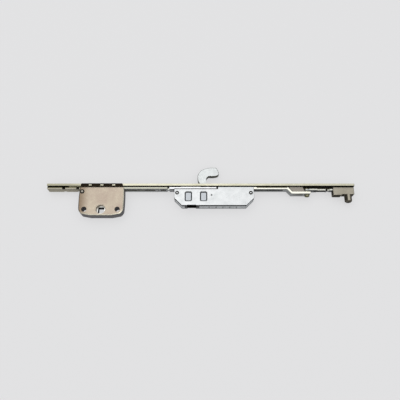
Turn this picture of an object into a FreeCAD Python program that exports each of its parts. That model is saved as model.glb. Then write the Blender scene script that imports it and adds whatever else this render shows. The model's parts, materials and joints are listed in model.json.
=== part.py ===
import FreeCAD, Part
import math
import os

import Sketcher

# End section of a multipoint espagnolette, lying on its side.
# X runs along the forend, Y from the gearbox towards the hook, Z out of the covers.
# The origin is on the spindle axis, halfway through the thickness of the gearbox.

# Driving sizes in millimetres: name, value, what it is.
SIZES = (
    ("backset", 35.0, "spindle axis to the front face of the forend"),
    ("forend_reach_left", 72.0, "spindle axis to the cut left end of the forend"),
    ("forend_reach_right", 331.0, "spindle axis to the right end of the forend"),
    ("forend_width", 16.0, "forend strip, across"),
    ("forend_thickness", 3.0, "forend strip"),
    ("forend_corner", 1.2, "chamfer on the corners at the right end"),
    ("fixing_from_gearbox", 23.3, "left fixing screw, from the gearbox's side"),
    ("fixing_from_case", 16.15, "right fixing screw, from the hook case's side"),
    ("fixing_hole_radius", 2.25, "hole for a fixing screw"),
    ("fixing_sink", 1.9, "countersink of a fixing screw, radial and deep"),
    ("stroke", 15.0, "travel of the drive rods"),
    ("handle_turn", 90.0, "turn of the follower over the stroke, in degrees"),
    ("hook_turn", 84.0, "swing of the hook over the stroke, in degrees"),
    ("teeth_in_full_turn", 16.0, "tooth spacing, as teeth in a whole circle"),
    ("tooth_play", 0.15, "play of each tooth flank pair at the pitch line"),
    ("rod_gap", 1.0, "between the back of the forend and the rods"),
    ("rod_thickness", 2.5, "drive rods and hook slide"),
    ("rod_width", 11.6, "drive rods and hook slide, across"),
    ("rod_left_end", 58.0, "shoulder at the right end of the left rod, left of the hook pin"),
    ("rod_notch_first", 50.4, "outer edge notch, left of the spindle axis"),
    ("rod_notch_second", 31.9, "inner edge notch, left of the spindle axis"),
    ("rod_notch_width", 3.5, "edge notch along the rod"),
    ("rod_notch_depth", 1.5, "edge notch into the rod"),
    ("joint_gap", 2.6, "open gap between rod end and slide end"),
    ("joint_neck_width", 5.0, "neck of a coupling head"),
    ("joint_head_width", 8.4, "coupling head"),
    ("joint_neck_length", 2.5, "depth of the lips that hold a coupling head"),
    ("joint_head_length", 2.4, "coupling head along the rod"),
    ("joint_play", 0.1, "play of a coupling head in its socket"),
    ("right_joint_at", 34.5, "right end of the hook slide, right of the hook pin"),
    ("right_joint_gap", 0.6, "open gap between hook slide and right rod"),
    ("post_radius", 2.2, "round post that a box screw enters"),
    ("post_play", 0.3, "play of a post in its slot"),
    ("screw_radius", 1.5, "thread of the box screws"),
    ("screw_head_radius", 3.0, "head of the box screws"),
    ("screw_grip", 5.4, "length of screw in its post"),
    ("screw_recess", 1.8, "driver recess, across"),
    ("screw_recess_depth", 0.9, "driver recess, deep"),
    ("screw_clearance", 0.2, "forend holes of the box screws, round their thread"),
    ("head_play", 0.05, "countersink round a screw head, and the head below the face"),
    ("stud_chamfer", 0.4, "chamfer of the stud's boss"),
    ("bottom_play", 0.1, "screw holes go deeper than their screws"),
    ("slip_play", 0.02, "play of a screw, rivet or stud in its hole"),
    ("running_play", 0.05, "play of a shaft that turns in its hole"),
    ("button_at", 12.6, "guide button on the left rod, from the rod's shoulder"),
    ("button_radius", 1.9, "head of the guide button"),
    ("button_height", 0.9, "head of the guide button under the rod"),
    ("button_shank", 1.0, "shank of the guide button"),
    ("rod_slot_end", 15.5, "right end of the long slot in the left rod, from the rod's shoulder"),
    ("short_slot_start", 9.6, "left end of the short slot in the left rod, from the rod's shoulder"),
    ("short_slot_end", 1.5, "right end of the short slot in the left rod, from the rod's shoulder"),
    ("box_half_thickness", 7.0, "both boxes, middle to outer face"),
    ("sheet_thickness", 1.0, "covers and floors of both boxes"),
    ("box_top_gap", 1.1, "between the back of the forend and the box plates"),
    ("wall_top_gap", 0.3, "between the underside of the rods and the box walls"),
    ("edge_bevel", 0.3, "bevel on the outer edges of covers"),
    ("gearbox_half_top", 28.7, "gearbox half width at its top"),
    ("gearbox_flare", 0.2, "gearbox half width grows by this down to its corners"),
    ("gearbox_corner_rise", 0.5, "height at which the lower corners start"),
    ("gearbox_side_radius", 220.0, "bulge of the gearbox sides"),
    ("gearbox_corner_run", 4.3, "lower corners of the gearbox, along X"),
    ("gearbox_corner_drop", 5.7, "depth at which the lower corners end"),
    ("gearbox_corner_radius", 9.0, "rounding of the lower corners"),
    ("gearbox_flat_half", 14.0, "half width of the flat bottom"),
    ("gearbox_drop", 7.8, "spindle axis to the flat bottom"),
    ("gearbox_wall", 1.6, "side walls of the gearbox"),
    ("gearbox_bottom_wall", 0.8, "bottom wall of the gearbox"),
    ("cover_rim_width", 1.1, "sloped rim of the gearbox cover, across"),
    ("cover_rim_height", 0.7, "sloped rim of the gearbox cover, high"),
    ("gearbox_post_inset", 2.7, "gearbox posts, in from the gearbox's sides"),
    ("block_inset", 0.2, "blocks under the gearbox posts, in from the gearbox's sides"),
    ("gearbox_block_width", 4.9, "block under a gearbox post, along X"),
    ("post_block_depth", 14.0, "blocks under the posts, along Y"),
    ("handle_screw_spacing", 43.0, "between the two handle screws"),
    ("handle_hole_radius", 3.45, "hole for a handle screw"),
    ("handle_boss_radius", 5.0, "boss round a handle-screw hole"),
    ("gearbox_rivet_inset", 3.3, "cover rivet, in from the gearbox's left side"),
    ("gearbox_rivet_y", 24.4, "cover rivet, above the spindle axis"),
    ("gearbox_rivet_head", 2.9, "radius of the cover rivet's head"),
    ("gearbox_rivet_radius", 1.5, "shank of the cover rivet"),
    ("gearbox_rivet_rise", 1.1, "height of the cover rivet's head"),
    ("rivet_rim", 0.3, "upright rim of a rivet's head"),
    ("rivet_slope", 0.9, "run of the slope round a rivet's flat crown"),
    ("spindle_square", 8.0, "square hole for the handle's spindle"),
    ("journal_radius", 6.6, "follower where it runs in the plates"),
    ("follower_hub_radius", 6.85, "follower between the plates"),
    ("follower_recess", 0.2, "follower ends below the outer faces"),
    ("side_play", 0.1, "follower and hook hub, to the plates"),
    ("gear_half_thickness", 4.0, "teeth of the gearbox rack and follower"),
    ("rack_left", 7.0, "rack plate, left of the spindle axis"),
    ("rack_end_play", 0.6, "rack plate, from the block under the right post"),
    ("lug_first", 0.0, "left side of the first rack lug"),
    ("lug_spacing", 11.0, "between the two rack lugs"),
    ("lug_size", 5.0, "rack lug, along and across"),
    ("lug_play", 0.05, "play of a lug in its window"),
    ("clip_inset", 1.4, "forend clip's ends, in from the gearbox's sides"),
    ("clip_web", 0.8, "web of the clip behind the forend"),
    ("clip_cheek", 1.0, "cheeks of the clip"),
    ("clip_drop", 0.4, "cheeks below the web"),
    ("clip_corner", 1.5, "rounding of the cheeks' corners"),
    ("clip_window_spacing", 15.4, "between the windows of the clip"),
    ("clip_window_width", 4.3, "window of the clip"),
    ("clip_window_rim", 0.7, "clip above a window"),
    ("clip_window_sill", 0.1, "clip's web below a window"),
    ("clip_play", 0.05, "clip to forend"),
    ("packer_length", 14.7, "forend packer, along X"),
    ("packer_gap", 1.0, "forend packer, from the clip"),
    ("packer_width", 14.0, "forend packer, across"),
    ("packer_thickness", 0.85, "forend packer"),
    ("case_left", 48.8, "hook case, left side, left of the hook pin"),
    ("case_right", 55.35, "hook case, right side, right of the hook pin"),
    ("case_bottom", 5.3, "hook case, bottom above the spindle axis"),
    ("case_chamfer", 10.1, "sloped lower corners of the hook case"),
    ("case_left_top", 28.0, "top of the hook case plates left of the step"),
    ("case_step", 8.3, "step up in the top of the plates, right of the hook pin"),
    ("case_wall", 1.2, "walls of the hook case"),
    ("plate_overhang", 0.4, "floor and cover of the hook case, beyond its walls"),
    ("cutout_left", 35.1, "cut-out for the hook's back in the bottom wall, left of the hook pin"),
    ("cutout_right", 16.0, "right end of that cut-out, left of the hook pin"),
    ("cutout_notch", 0.8, "notch of the plates at the cut-out"),
    ("notch_left", 31.6, "left end of that notch, left of the hook pin"),
    ("notch_right", 20.4, "right end of that notch, left of the hook pin"),
    ("groove_first", 3.6, "first groove across the bottom wall, left of the hook pin"),
    ("groove_pitch", 8.93, "grooves across the bottom wall"),
    ("groove_count", 5.0, "grooves across the bottom wall"),
    ("groove_width", 1.0, "a groove"),
    ("groove_depth", 0.4, "a groove"),
    ("case_post_left", 3.5, "left post of the hook case, from its left side"),
    ("case_post_right", 8.85, "right post of the hook case, from its right side"),
    ("case_block_width", 6.6, "block under a hook case post"),
    ("case_rivet_left", 3.8, "left cover rivet, from the case's left side"),
    ("case_rivet_right", 4.05, "right cover rivet, from the case's right side"),
    ("case_rivet_y", 22.65, "cover rivets of the hook case, above the spindle axis"),
    ("case_rivet_head", 1.5, "radius of those rivets' heads"),
    ("case_rivet_radius", 1.1, "shank of those rivets"),
    ("case_rivet_rise", 0.75, "height of those rivets' heads"),
    ("rivet_seat_radius", 2.2, "round recess of the cover under each of those heads"),
    ("rivet_seat_depth", 0.4, "that recess, deep"),
    ("pressing_first", 30.3, "middle of the first pressed pocket, left of the hook pin"),
    ("pressing_spacing", 19.9, "between the two pressed pockets"),
    ("pressing_y", 17.7, "middle of the pressed pockets, above the spindle axis"),
    ("pressing_width", 9.6, "pressed pocket along X at its mouth"),
    ("pressing_height", 13.5, "pressed pocket along Y at its mouth"),
    ("pressing_corner", 2.2, "corners of a pressed pocket at its mouth"),
    ("pressing_depth", 1.3, "pressed pocket"),
    ("pressing_wall", 0.6, "wall of a pressed pocket, beside its hollow"),
    ("pressing_slope", 1.5, "run of the pocket's sloped walls"),
    ("hook_pivot_x", 143.5, "hook pin, from the spindle axis"),
    ("pivot_radius", 2.5, "hook pin"),
    ("pip_radius", 1.0, "ends of the hook pin in the plates"),
    ("pip_recess", 0.3, "end of the hook pin below the cover's face"),
    ("hook_half_thickness", 3.8, "hook plate, middle to face"),
    ("hook_hub_radius", 4.6, "thick hub of the hook"),
    ("heel_angle", 176.0, "heel of the hook on its hub, in degrees"),
    ("heel_low_angle", 205.0, "foot of that heel, in degrees"),
    ("heel_reach", 2.2, "heel beyond the hub"),
    ("heel_bend_x", -11.2, "hook's back in the slot, from the pin"),
    ("heel_bend_y", -6.0, "hook's back in the slot, from the forend's face"),
    ("back_low_x", -15.6, "hook's back over the forend, from the pin"),
    ("back_low_y", 1.5, "hook's back over the forend, from its face"),
    ("back_x", -18.3, "furthest point of the back, from the pin"),
    ("back_y", 9.2, "furthest point of the back, from the forend's face"),
    ("shoulder_x", -16.7, "shoulder of the hook, from the pin"),
    ("shoulder_drop", 7.75, "shoulder of the hook, below its top"),
    ("crown_x", -13.0, "crown of the hook, from the pin"),
    ("crown_drop", 3.65, "crown of the hook, below its top"),
    ("brow_x", -7.6, "end of the round crown, from the pin"),
    ("brow_drop", 1.25, "end of the round crown, below the top"),
    ("top_left_x", -1.6, "left end of the flat top, from the pin"),
    ("top_right_x", 5.8, "right end of the flat top, from the pin"),
    ("tip_x", 7.0, "upper corner of the hook's tip, from the pin"),
    ("tip_drop", 0.75, "upper corner of the hook's tip, below the top"),
    ("nose_x", 9.1, "bulge of the hook's nose, from the pin"),
    ("nose_drop", 4.75, "bulge of the hook's nose, below the top"),
    ("beak_x", 9.85, "lower corner of the nose, from the pin"),
    ("beak_drop", 8.95, "lower corner of the nose, below the top"),
    ("beak_low_x", 8.1, "bevelled corner under the nose, from the pin"),
    ("beak_low_drop", 10.85, "bevelled corner under the nose, below the top"),
    ("throat_x", 2.4, "underside of the head, from the pin"),
    ("throat_drop", 12.0, "underside of the head, below the top"),
    ("bend_top_x", -3.2, "upper end of the inner bend, from the pin"),
    ("bend_top_drop", 11.75, "upper end of the inner bend, below the top"),
    ("bend_x", -5.8, "inner bend, from the pin"),
    ("bend_drop", 13.65, "inner bend, below the top"),
    ("neck_x", -7.0, "front of the neck, from the pin"),
    ("neck_y", 7.5, "front of the neck, from the forend's face"),
    ("neck_low_x", -6.8, "front of the neck at the forend, from the pin"),
    ("neck_low_y", 2.0, "front of the neck at the forend, from its face"),
    ("neck_root_x", -3.9, "root of the neck, from the pin"),
    ("neck_root_y", -5.6, "root of the neck, from the forend's face"),
    ("bevel_reach", 9.35, "bevelled part of the hook's head, below its top"),
    ("hook_height", 24.35, "top of the hook above the forend's front face"),
    ("hook_bevel", 0.5, "bevel round the hook's head"),
    ("hook_slot_left", 40.1, "slot in the forend for the hook, left end, left of the hook pin"),
    ("hook_slot_right", 3.9, "slot in the forend for the hook, right end, left of the hook pin"),
    ("hook_slot_half", 4.3, "slot in the forend for the hook, half width"),
    ("hook_window_left", 28.9, "window in the slide for the hook, left end, left of the hook pin"),
    ("hook_window_half", 4.05, "window in the slide for the hook, half width"),
    ("rod_slot_b_end", 93.0, "right end of the slot in the right rod, from the forend's end"),
    ("crank_start", 87.3, "right rod, where its crank starts, from the forend's end"),
    ("crank_end", 81.7, "right rod, where its crank ends, from the forend's end"),
    ("crank_lag", 1.0, "underside of the crank, behind its top side"),
    ("crank_drop", 6.3, "right rod, depth of its crank"),
    ("rod_b_end", 58.0, "right end of the right rod, from the forend's end"),
    ("block_slot_left", 76.8, "slot in the cranked rod for the spacer's lug, from the forend's end"),
    ("block_slot_right", 67.0, "right end of that slot, from the forend's end"),
    ("block_slot_half", 1.9, "that slot, half width"),
    ("spacer_left_top", 86.5, "spacer block, upper left corner, from the forend's end"),
    ("spacer_left_low", 80.7, "spacer block, lower left corner, from the forend's end"),
    ("spacer_right_top", 68.2, "spacer block, upper right corner, from the forend's end"),
    ("spacer_right_low", 65.0, "spacer block, lower right corner, from the forend's end"),
    ("spacer_half_width", 5.2, "spacer block, half width"),
    ("spacer_play", 0.3, "spacer block to the forend"),
    ("spacer_rivet_at", 78.7, "rivet of the spacer block, from the forend's end"),
    ("spacer_rivet_radius", 1.0, "shank of that rivet"),
    ("spacer_rivet_head", 1.7, "radius of that rivet's head"),
    ("spacer_rivet_height", 0.8, "height of that rivet's head"),
    ("stud_at", 61.8, "stud at the end of the right rod, from the forend's end"),
    ("stud_radius", 2.0, "stud shank"),
    ("stud_boss_radius", 3.2, "stud boss under the rod"),
    ("stud_boss_height", 2.6, "stud boss under the rod"),
    ("stud_collar_radius", 2.8, "stud collar between rod and end slide"),
    ("stud_head_radius", 2.6, "stud head over the end slide"),
    ("stud_head_height", 1.9, "stud head over the end slide"),
    ("slide_top", 29.1, "top of the end slide above the spindle axis"),
    ("slide_thickness", 1.8, "end slide"),
    ("slide_eye_radius", 3.5, "eye of the end slide"),
    ("slide_start", 59.8, "wide part of the end slide, left end, from the forend's end"),
    ("slide_half_width", 4.5, "wide part of the end slide, half width"),
    ("slide_edge_left", 48.7, "set-back stretch of the edge, left end, from the forend's end"),
    ("slide_edge_right", 37.0, "set-back stretch of the edge, right end, from the forend's end"),
    ("slide_edge_depth", 1.2, "set-back stretch of the edge"),
    ("slide_neck_left", 35.4, "neck of the end slide, left end, from the forend's end"),
    ("slide_neck_right", 32.4, "neck of the end slide, right end, from the forend's end"),
    ("slide_neck_half", 2.0, "neck of the end slide, half width"),
    ("tongue_half_width", 3.6, "tongue of the end slide, half width"),
    ("tongue_end", 9.0, "tongue of the end slide, right end, from the forend's end"),
    ("channel_play", 0.15, "tongue to its channel in the end block"),
    ("end_block_left", 28.2, "end block, left side, from the forend's end"),
    ("end_block_right", 0.5, "end block, right side, from the forend's end"),
    ("end_block_half", 4.85, "end block, half width"),
    ("end_block_low", 20.5, "end block, underside at the left"),
    ("end_block_step", 16.3, "end block, step in the underside, from the forend's end"),
    ("end_block_high", 21.6, "end block, underside at the right"),
    ("end_block_slope", 1.5, "end block, slope at the step"),
    ("end_block_round", 0.8, "end block, rounding of its edges"),
    ("end_seat_left", 26.0, "seat of the end block on the forend, left end, from the forend's end"),
    ("end_seat_right", 2.5, "seat of the end block on the forend, right end, from the forend's end"),
    ("end_seat_half", 3.5, "seat of the end block, half width"),
    ("end_channel_end", 8.0, "blind end of the channel, from the forend's end"),
    ("end_screw_at", 4.8, "screw of the end block, from the forend's end"),
    ("end_screw_grip", 7.0, "length of that screw in the block"),
    ("spigot_at", 23.0, "spigot of the end block in the forend, from the forend's end"),
    ("spigot_radius", 1.9, "spigot of the end block"),
    ("spigot_height", 2.5, "spigot of the end block"),
    ("peg_at", 8.0, "peg of the end block, from the forend's end"),
    ("peg_radius", 4.75, "peg of the end block"),
    ("peg_tip", 11.9, "end of the peg above the spindle axis"),
    ("peg_bevel", 1.3, "bevel round the peg's end"),
)

# Pressure angle of all teeth, and the run of a straight flank for each millimetre of depth.
PRESSURE_ANGLE = math.radians(20.0)
FLANK_RUN = math.tan(PRESSURE_ANGLE)
# Tooth heights as shares of the module.
RACK_TIP = 0.9
GEAR_TIP = 1.0
TOOTH_ROOT = 1.25
# First and last tooth of each sector, counted anticlockwise from straight above its centre.
FOLLOWER_TEETH = (-3, 1)
HOOK_TEETH = (-4, 1)
# How far a cutting shape reaches past the face that it enters by.
CUT_OVER = 1.0
# Places that are nearer than this are the same.
SAME_PLACE = 0.01


class Size:
    """A number together with the spreadsheet expression that gives it."""

    def __init__(self, value, text):
        self.value = value
        self.text = text

    def __add__(self, other):
        other = as_size(other)
        return Size(self.value + other.value, "(%s + %s)" % (self.text, other.text))

    def __sub__(self, other):
        other = as_size(other)
        return Size(self.value - other.value, "(%s - %s)" % (self.text, other.text))

    def __mul__(self, other):
        other = as_size(other)
        return Size(self.value * other.value, "(%s * %s)" % (self.text, other.text))

    def __truediv__(self, other):
        other = as_size(other)
        return Size(self.value / other.value, "(%s / %s)" % (self.text, other.text))

    def __neg__(self):
        return Size(-self.value, "(-1 * %s)" % self.text)


def as_size(value):
    """A plain number as a Size."""
    if isinstance(value, Size):
        return value
    return Size(float(value), repr(float(value)))


doc = FreeCAD.newDocument("espagnolette")
sheet = doc.addObject("Spreadsheet::Sheet", "Sizes")
for row, (alias, number, note) in enumerate(SIZES, start=1):
    sheet.set("A%d" % row, alias)
    sheet.set("B%d" % row, str(number))
    sheet.set("C%d" % row, note)
    sheet.setAlias("B%d" % row, alias)
doc.recompute()


def size(alias):
    """One driving size from the sheet."""
    return Size(float(sheet.get(alias)), "Sizes." + alias)


def from_end(alias):
    """A place given back from the forend's right end."""
    return size("forend_reach_right") - size(alias)


def left_of_pin(alias):
    """A place given to the left of the hook pin."""
    return size("hook_pivot_x") - size(alias)


def right_of_pin(alias):
    """A place given to the right of the hook pin."""
    return size("hook_pivot_x") + size(alias)


def gearbox_in(alias):
    """A half width given in from the gearbox's side."""
    return size("gearbox_half_top") - size(alias)


def from_shoulder(alias):
    """A place given back from the left rod's shoulder."""
    return rod_shoulder - size(alias)


# Places, levels and gear sizes that several pieces share.
rod_shoulder = left_of_pin("rod_left_end")
case_left = left_of_pin("case_left")
case_right = right_of_pin("case_right")
case_posts = (case_left + size("case_post_left"), case_right - size("case_post_right"))
case_rivets = (case_left + size("case_rivet_left"), case_right - size("case_rivet_right"))
half_sheet = size("box_half_thickness") - size("sheet_thickness")
box_face = size("box_half_thickness")
forend_back = size("backset") - size("forend_thickness")
rod_top = forend_back - size("rod_gap")
rod_under = rod_top - size("rod_thickness")
plate_top = forend_back - size("box_top_gap")
wall_top = rod_under - size("wall_top_gap")
pitch_line = rod_top - size("rod_thickness") / 2
crank_top = rod_top - size("crank_drop")
crank_under = crank_top - size("rod_thickness")
handle_pitch_radius = size("stroke") * (180.0 / math.pi) / size("handle_turn")
hook_pitch_radius = size("stroke") * (180.0 / math.pi) / size("hook_turn")
handle_pitch = handle_pitch_radius * (2.0 * math.pi) / size("teeth_in_full_turn")
hook_pitch = hook_pitch_radius * (2.0 * math.pi) / size("teeth_in_full_turn")
hook_pivot_y = pitch_line - hook_pitch_radius
slot_half = size("post_radius") + size("post_play")

parts = []


def keep(label, feature):
    """Note a finished sub-part under its own label."""
    feature.Label = label
    parts.append(feature)
    return feature


def new_body(name):
    return doc.addObject("PartDesign::Body", name)


def sketch_on(body, role, name, offset):
    """Sketch on one of the body's own origin planes, moved along its normal."""
    plane = [item for item in body.Origin.OriginFeatures if item.Role == role][0]
    sketch = body.newObject("Sketcher::SketchObject", name)
    sketch.AttachmentSupport = [(plane, "")]
    sketch.MapMode = "FlatFace"
    sketch.setExpression("AttachmentOffset.Base.z", as_size(offset).text)
    return sketch


def plan(body, name, height):
    """Sketch seen along Y, at a height: its axes are X and Z, its pads go down."""
    return sketch_on(body, "XZ_Plane", name, -as_size(height))


def side(body, name, offset=0.0):
    """Sketch seen along Z: its axes are X and Y, its pads go up."""
    return sketch_on(body, "XY_Plane", name, offset)


def section(body, name, offset):
    """Sketch seen along X: its axes are Y and Z, its pads go right."""
    return sketch_on(body, "YZ_Plane", name, offset)


def bind(sketch, kind, places, amount):
    """Add a constraint whose value comes from the sheet."""
    amount = as_size(amount)
    index = sketch.addConstraint(Sketcher.Constraint(kind, *places, amount.value))
    name = "size%d" % index
    sketch.renameConstraint(index, name)
    sketch.setExpression("Constraints." + name, amount.text)


def fix_point(sketch, geometry, end, x, y):
    bind(sketch, "DistanceX", (-1, 1, geometry, end), x)
    bind(sketch, "DistanceY", (-1, 1, geometry, end), y)


def vector(x, y):
    return FreeCAD.Vector(as_size(x).value, as_size(y).value, 0)


def arc_between(start, end, radius, bulge):
    """Arc of a given radius from start to end; bulge 1 lies left of that way, -1 right."""
    chord = end - start
    middle = (start + end) / 2
    across = FreeCAD.Vector(-chord.y, chord.x, 0).normalize()
    reach = math.sqrt(max(radius ** 2 - (chord.Length / 2) ** 2, 0.0))
    centre = middle - across * (bulge * reach)
    first, last = (end, start) if bulge > 0 else (start, end)
    angles = [math.atan2(p.y - centre.y, p.x - centre.x) for p in (first, last)]
    circle = Part.Circle(centre, FreeCAD.Vector(0, 0, 1), radius)
    return Part.ArcOfCircle(circle, angles[0], angles[1])


def outline(sketch, corners):
    """Closed outline. A corner is (x, y), or (x, y, radius, bulge) if an arc follows it.

    An arc with radius None is a half circle, and its chord lies along X or Y.
    """
    count = len(corners)
    places = [vector(corner[0], corner[1]) for corner in corners]
    firsts = []
    ends = []
    for number, corner in enumerate(corners):
        start = places[number]
        finish = places[(number + 1) % count]
        if len(corner) == 2:
            index = sketch.addGeometry(Part.LineSegment(start, finish), False)
            ends.append((index, 1, 2))
        else:
            radius, bulge = corner[2:]
            reach = (finish - start).Length / 2 if radius is None else as_size(radius).value
            arc = arc_between(start, finish, reach, bulge)
            index = sketch.addGeometry(arc, False)
            ends.append((index, 2, 1) if bulge > 0 else (index, 1, 2))
        firsts.append(index)
    for number in range(count):
        here = ends[number]
        following = ends[(number + 1) % count]
        join = Sketcher.Constraint("Coincident", here[0], here[2], following[0], following[1])
        sketch.addConstraint(join)
    for number, corner in enumerate(corners):
        fix_point(sketch, ends[number][0], ends[number][1], corner[0], corner[1])
        if len(corner) > 2 and corner[2] is None:
            upright = near(places[number].x, places[(number + 1) % count].x)
            kind = "DistanceX" if upright else "DistanceY"
            bind(sketch, kind, (-1, 1, firsts[number], 3), corner[0] if upright else corner[1])
        elif len(corner) > 2:
            bind(sketch, "Radius", (firsts[number],), corner[2])


def box_outline(sketch, left, right, low, high):
    outline(sketch, [(left, low), (right, low), (right, high), (left, high)])


def circle(sketch, x, y, radius):
    shape = Part.Circle(vector(x, y), FreeCAD.Vector(0, 0, 1), as_size(radius).value)
    index = sketch.addGeometry(shape, False)
    fix_point(sketch, index, 3, x, y)
    bind(sketch, "Radius", (index,), radius)


def round_slot(sketch, left, right, half):
    """Slot along X with round ends, centred on the sketch's X axis."""
    half = as_size(half)
    near = left + half
    far = right - half
    outline(sketch, [
        (near, -half), (far, -half, None, -1), (far, half), (near, half, None, -1),
    ])


def pad(body, sketch, name, length, way="One side"):
    """Add material along the sketch's normal, or half each way."""
    feature = body.newObject("PartDesign::Pad", name)
    feature.Profile = sketch
    feature.SideType = way
    feature.setExpression("Length", as_size(length).text)
    body.Tip = feature
    return feature


def pad_back(body, sketch, name, length):
    """Add material against the sketch's normal."""
    feature = pad(body, sketch, name, length)
    feature.Reversed = True
    return feature


def cut_through(body, sketch, name):
    """Cut the whole body both ways."""
    feature = body.newObject("PartDesign::Pocket", name)
    feature.Profile = sketch
    feature.Type = "ThroughAll"
    feature.SideType = "Symmetric"
    return settle_cut(body, feature)


def cut(body, sketch, name, length, along_normal=False, way="One side"):
    """Cut to a depth, against the sketch's normal unless told otherwise."""
    feature = body.newObject("PartDesign::Pocket", name)
    feature.Profile = sketch
    feature.SideType = way
    feature.Reversed = along_normal
    feature.setExpression("Length", as_size(length).text)
    return settle_cut(body, feature)


def settle_cut(body, feature):
    """Recompute a cut and stop if it took nothing away."""
    before = body.Tip
    doc.recompute()
    body.Tip = feature
    doc.recompute()
    if before is not feature and feature.Shape.Volume > before.Shape.Volume - 1e-6:
        raise RuntimeError("cut took nothing away: " + feature.Name)
    return feature


def edges_where(feature, test):
    """Names of a feature's edges that pass a test."""
    return ["Edge%d" % number for number, edge in enumerate(feature.Shape.Edges, 1) if test(edge)]


def bevel(body, test, amount, name):
    """Chamfer the tip's edges that pass a test."""
    doc.recompute()
    base = body.Tip
    feature = body.newObject("PartDesign::Chamfer", name)
    feature.Base = (base, edges_where(base, test))
    feature.setExpression("Size", as_size(amount).text)
    body.Tip = feature
    return feature


def rounding(body, test, amount, name):
    """Fillet the tip's edges that pass a test."""
    doc.recompute()
    base = body.Tip
    feature = body.newObject("PartDesign::Fillet", name)
    feature.Base = (base, edges_where(base, test))
    feature.setExpression("Radius", as_size(amount).text)
    body.Tip = feature
    return feature


def near(first, second):
    return abs(first - as_size(second).value) < SAME_PLACE


def lies_at_y(height):
    """Test for edges that lie at one height."""
    return lambda edge: near(edge.BoundBox.YMin, height) and near(edge.BoundBox.YMax, height)


def lies_at_z(level):
    """Test for edges that lie at one level."""
    return lambda edge: near(edge.BoundBox.ZMin, level) and near(edge.BoundBox.ZMax, level)


def is_upright(edge):
    """Test for edges along Y."""
    box = edge.BoundBox
    return near(box.XMin, box.XMax) and near(box.ZMin, box.ZMax)


def is_circle(radius):
    """Test for full circles of one radius."""
    return lambda edge: (isinstance(edge.Curve, Part.Circle)
                         and near(edge.Curve.Radius, radius)
                         and edge.Closed)


def turned(name, role, offset, axis_at, corners):
    """Turned piece: corners are (radius, position) about an axis in the sketch plane.

    In an XY sketch the axis runs along Y at x = axis_at; in an XZ sketch along Z.
    """
    body = new_body(name)
    sketch = sketch_on(body, role, name + "_profile", offset)
    low = min(as_size(corner[1]).value for corner in corners)
    line = Part.LineSegment(vector(axis_at, low), vector(axis_at, low + 1.0))
    index = sketch.addGeometry(line, True)
    fix_point(sketch, index, 1, axis_at, low)
    fix_point(sketch, index, 2, axis_at, low + 1.0)
    outline(sketch, [(axis_at + corner[0],) + tuple(corner[1:]) for corner in corners])
    feature = body.newObject("PartDesign::Revolution", name + "_turn")
    feature.Profile = sketch
    feature.ReferenceAxis = (sketch, ["Axis0"])
    feature.Angle = 360.0
    body.Tip = feature
    return body


def group(label, members):
    """Separate solids that share one label."""
    compound = doc.addObject("Part::Compound", label)
    compound.Links = members
    return keep(label, compound)


def make_forend():
    """The flat strip with the hook's slot and countersunk screw holes."""
    body = new_body("forend")
    half = size("forend_width") / 2
    left = -size("forend_reach_left")
    right = size("forend_reach_right")
    corner = size("forend_corner")
    strip = plan(body, "forend_strip", size("backset"))
    outline(strip, [
        (left, -half), (right - corner, -half), (right, -half + corner),
        (right, half - corner), (right - corner, half), (left, half),
    ])
    slot = size("hook_slot_half")
    box_outline(strip, left_of_pin("hook_slot_left"), left_of_pin("hook_slot_right"), -slot, slot)
    hole = size("screw_radius") + size("screw_clearance")
    for place in screw_places():
        circle(strip, place, 0.0, hole)
    circle(strip, from_end("spigot_at"), 0.0, size("spigot_radius") + size("running_play"))
    for place in fixing_places():
        circle(strip, place, 0.0, size("fixing_hole_radius"))
    pad(body, strip, "forend_pad", size("forend_thickness"))
    doc.recompute()
    on_face = lies_at_y(size("backset"))
    screw_edge = is_circle(hole)
    fixing_edge = is_circle(size("fixing_hole_radius"))
    sink = size("screw_head_radius") + size("head_play") - hole
    bevel(body, lambda edge: on_face(edge) and screw_edge(edge), sink, "screw_sinks")
    bevel(body, lambda edge: on_face(edge) and fixing_edge(edge), size("fixing_sink"), "fixing_sinks")
    keep("forend", body)


def screw_places():
    """Screws that hold the two boxes and the end block to the forend."""
    return [
        -gearbox_in("gearbox_post_inset"), gearbox_in("gearbox_post_inset"),
        case_posts[0], case_posts[1], from_end("end_screw_at"),
    ]


def fixing_places():
    """Holes for the screws that hold the forend to a sash."""
    return [size("gearbox_half_top") + size("fixing_from_gearbox"),
            case_right + size("fixing_from_case")]


def make_screw(name, place, grip):
    """Countersunk screw along Y with a cross recess."""
    head = size("screw_head_radius")
    shank = size("screw_radius")
    top = size("backset") - size("head_play")
    neck = top - (head - shank)
    tip = forend_back - grip
    body = turned(name, "XY_Plane", 0.0, place, [
        (0.0, tip), (shank, tip), (shank, neck), (head, top), (0.0, top),
    ])
    recess = plan(body, name + "_recess", top)
    arm = size("screw_recess")
    bar = arm / 6
    outline(recess, [
        (place - arm, -bar), (place - bar, -bar), (place - bar, -arm), (place + bar, -arm),
        (place + bar, -bar), (place + arm, -bar), (place + arm, bar), (place + bar, bar),
        (place + bar, arm), (place - bar, arm), (place - bar, bar), (place - arm, bar),
    ])
    cut(body, recess, name + "_recess_cut", size("screw_recess_depth"), along_normal=True)
    return body


def make_box_screws():
    """The screws that the forend is held by."""
    grip = size("screw_grip")
    places = screw_places()
    group("gearbox_screws", [
        make_screw("gearbox_screw_left", places[0], grip),
        make_screw("gearbox_screw_right", places[1], grip),
    ])
    group("hook_case_screws", [
        make_screw("hook_case_screw_left", places[2], grip),
        make_screw("hook_case_screw_right", places[3], grip),
    ])
    keep("end_block_screw", make_screw("end_screw", places[4], size("end_screw_grip")))


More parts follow.
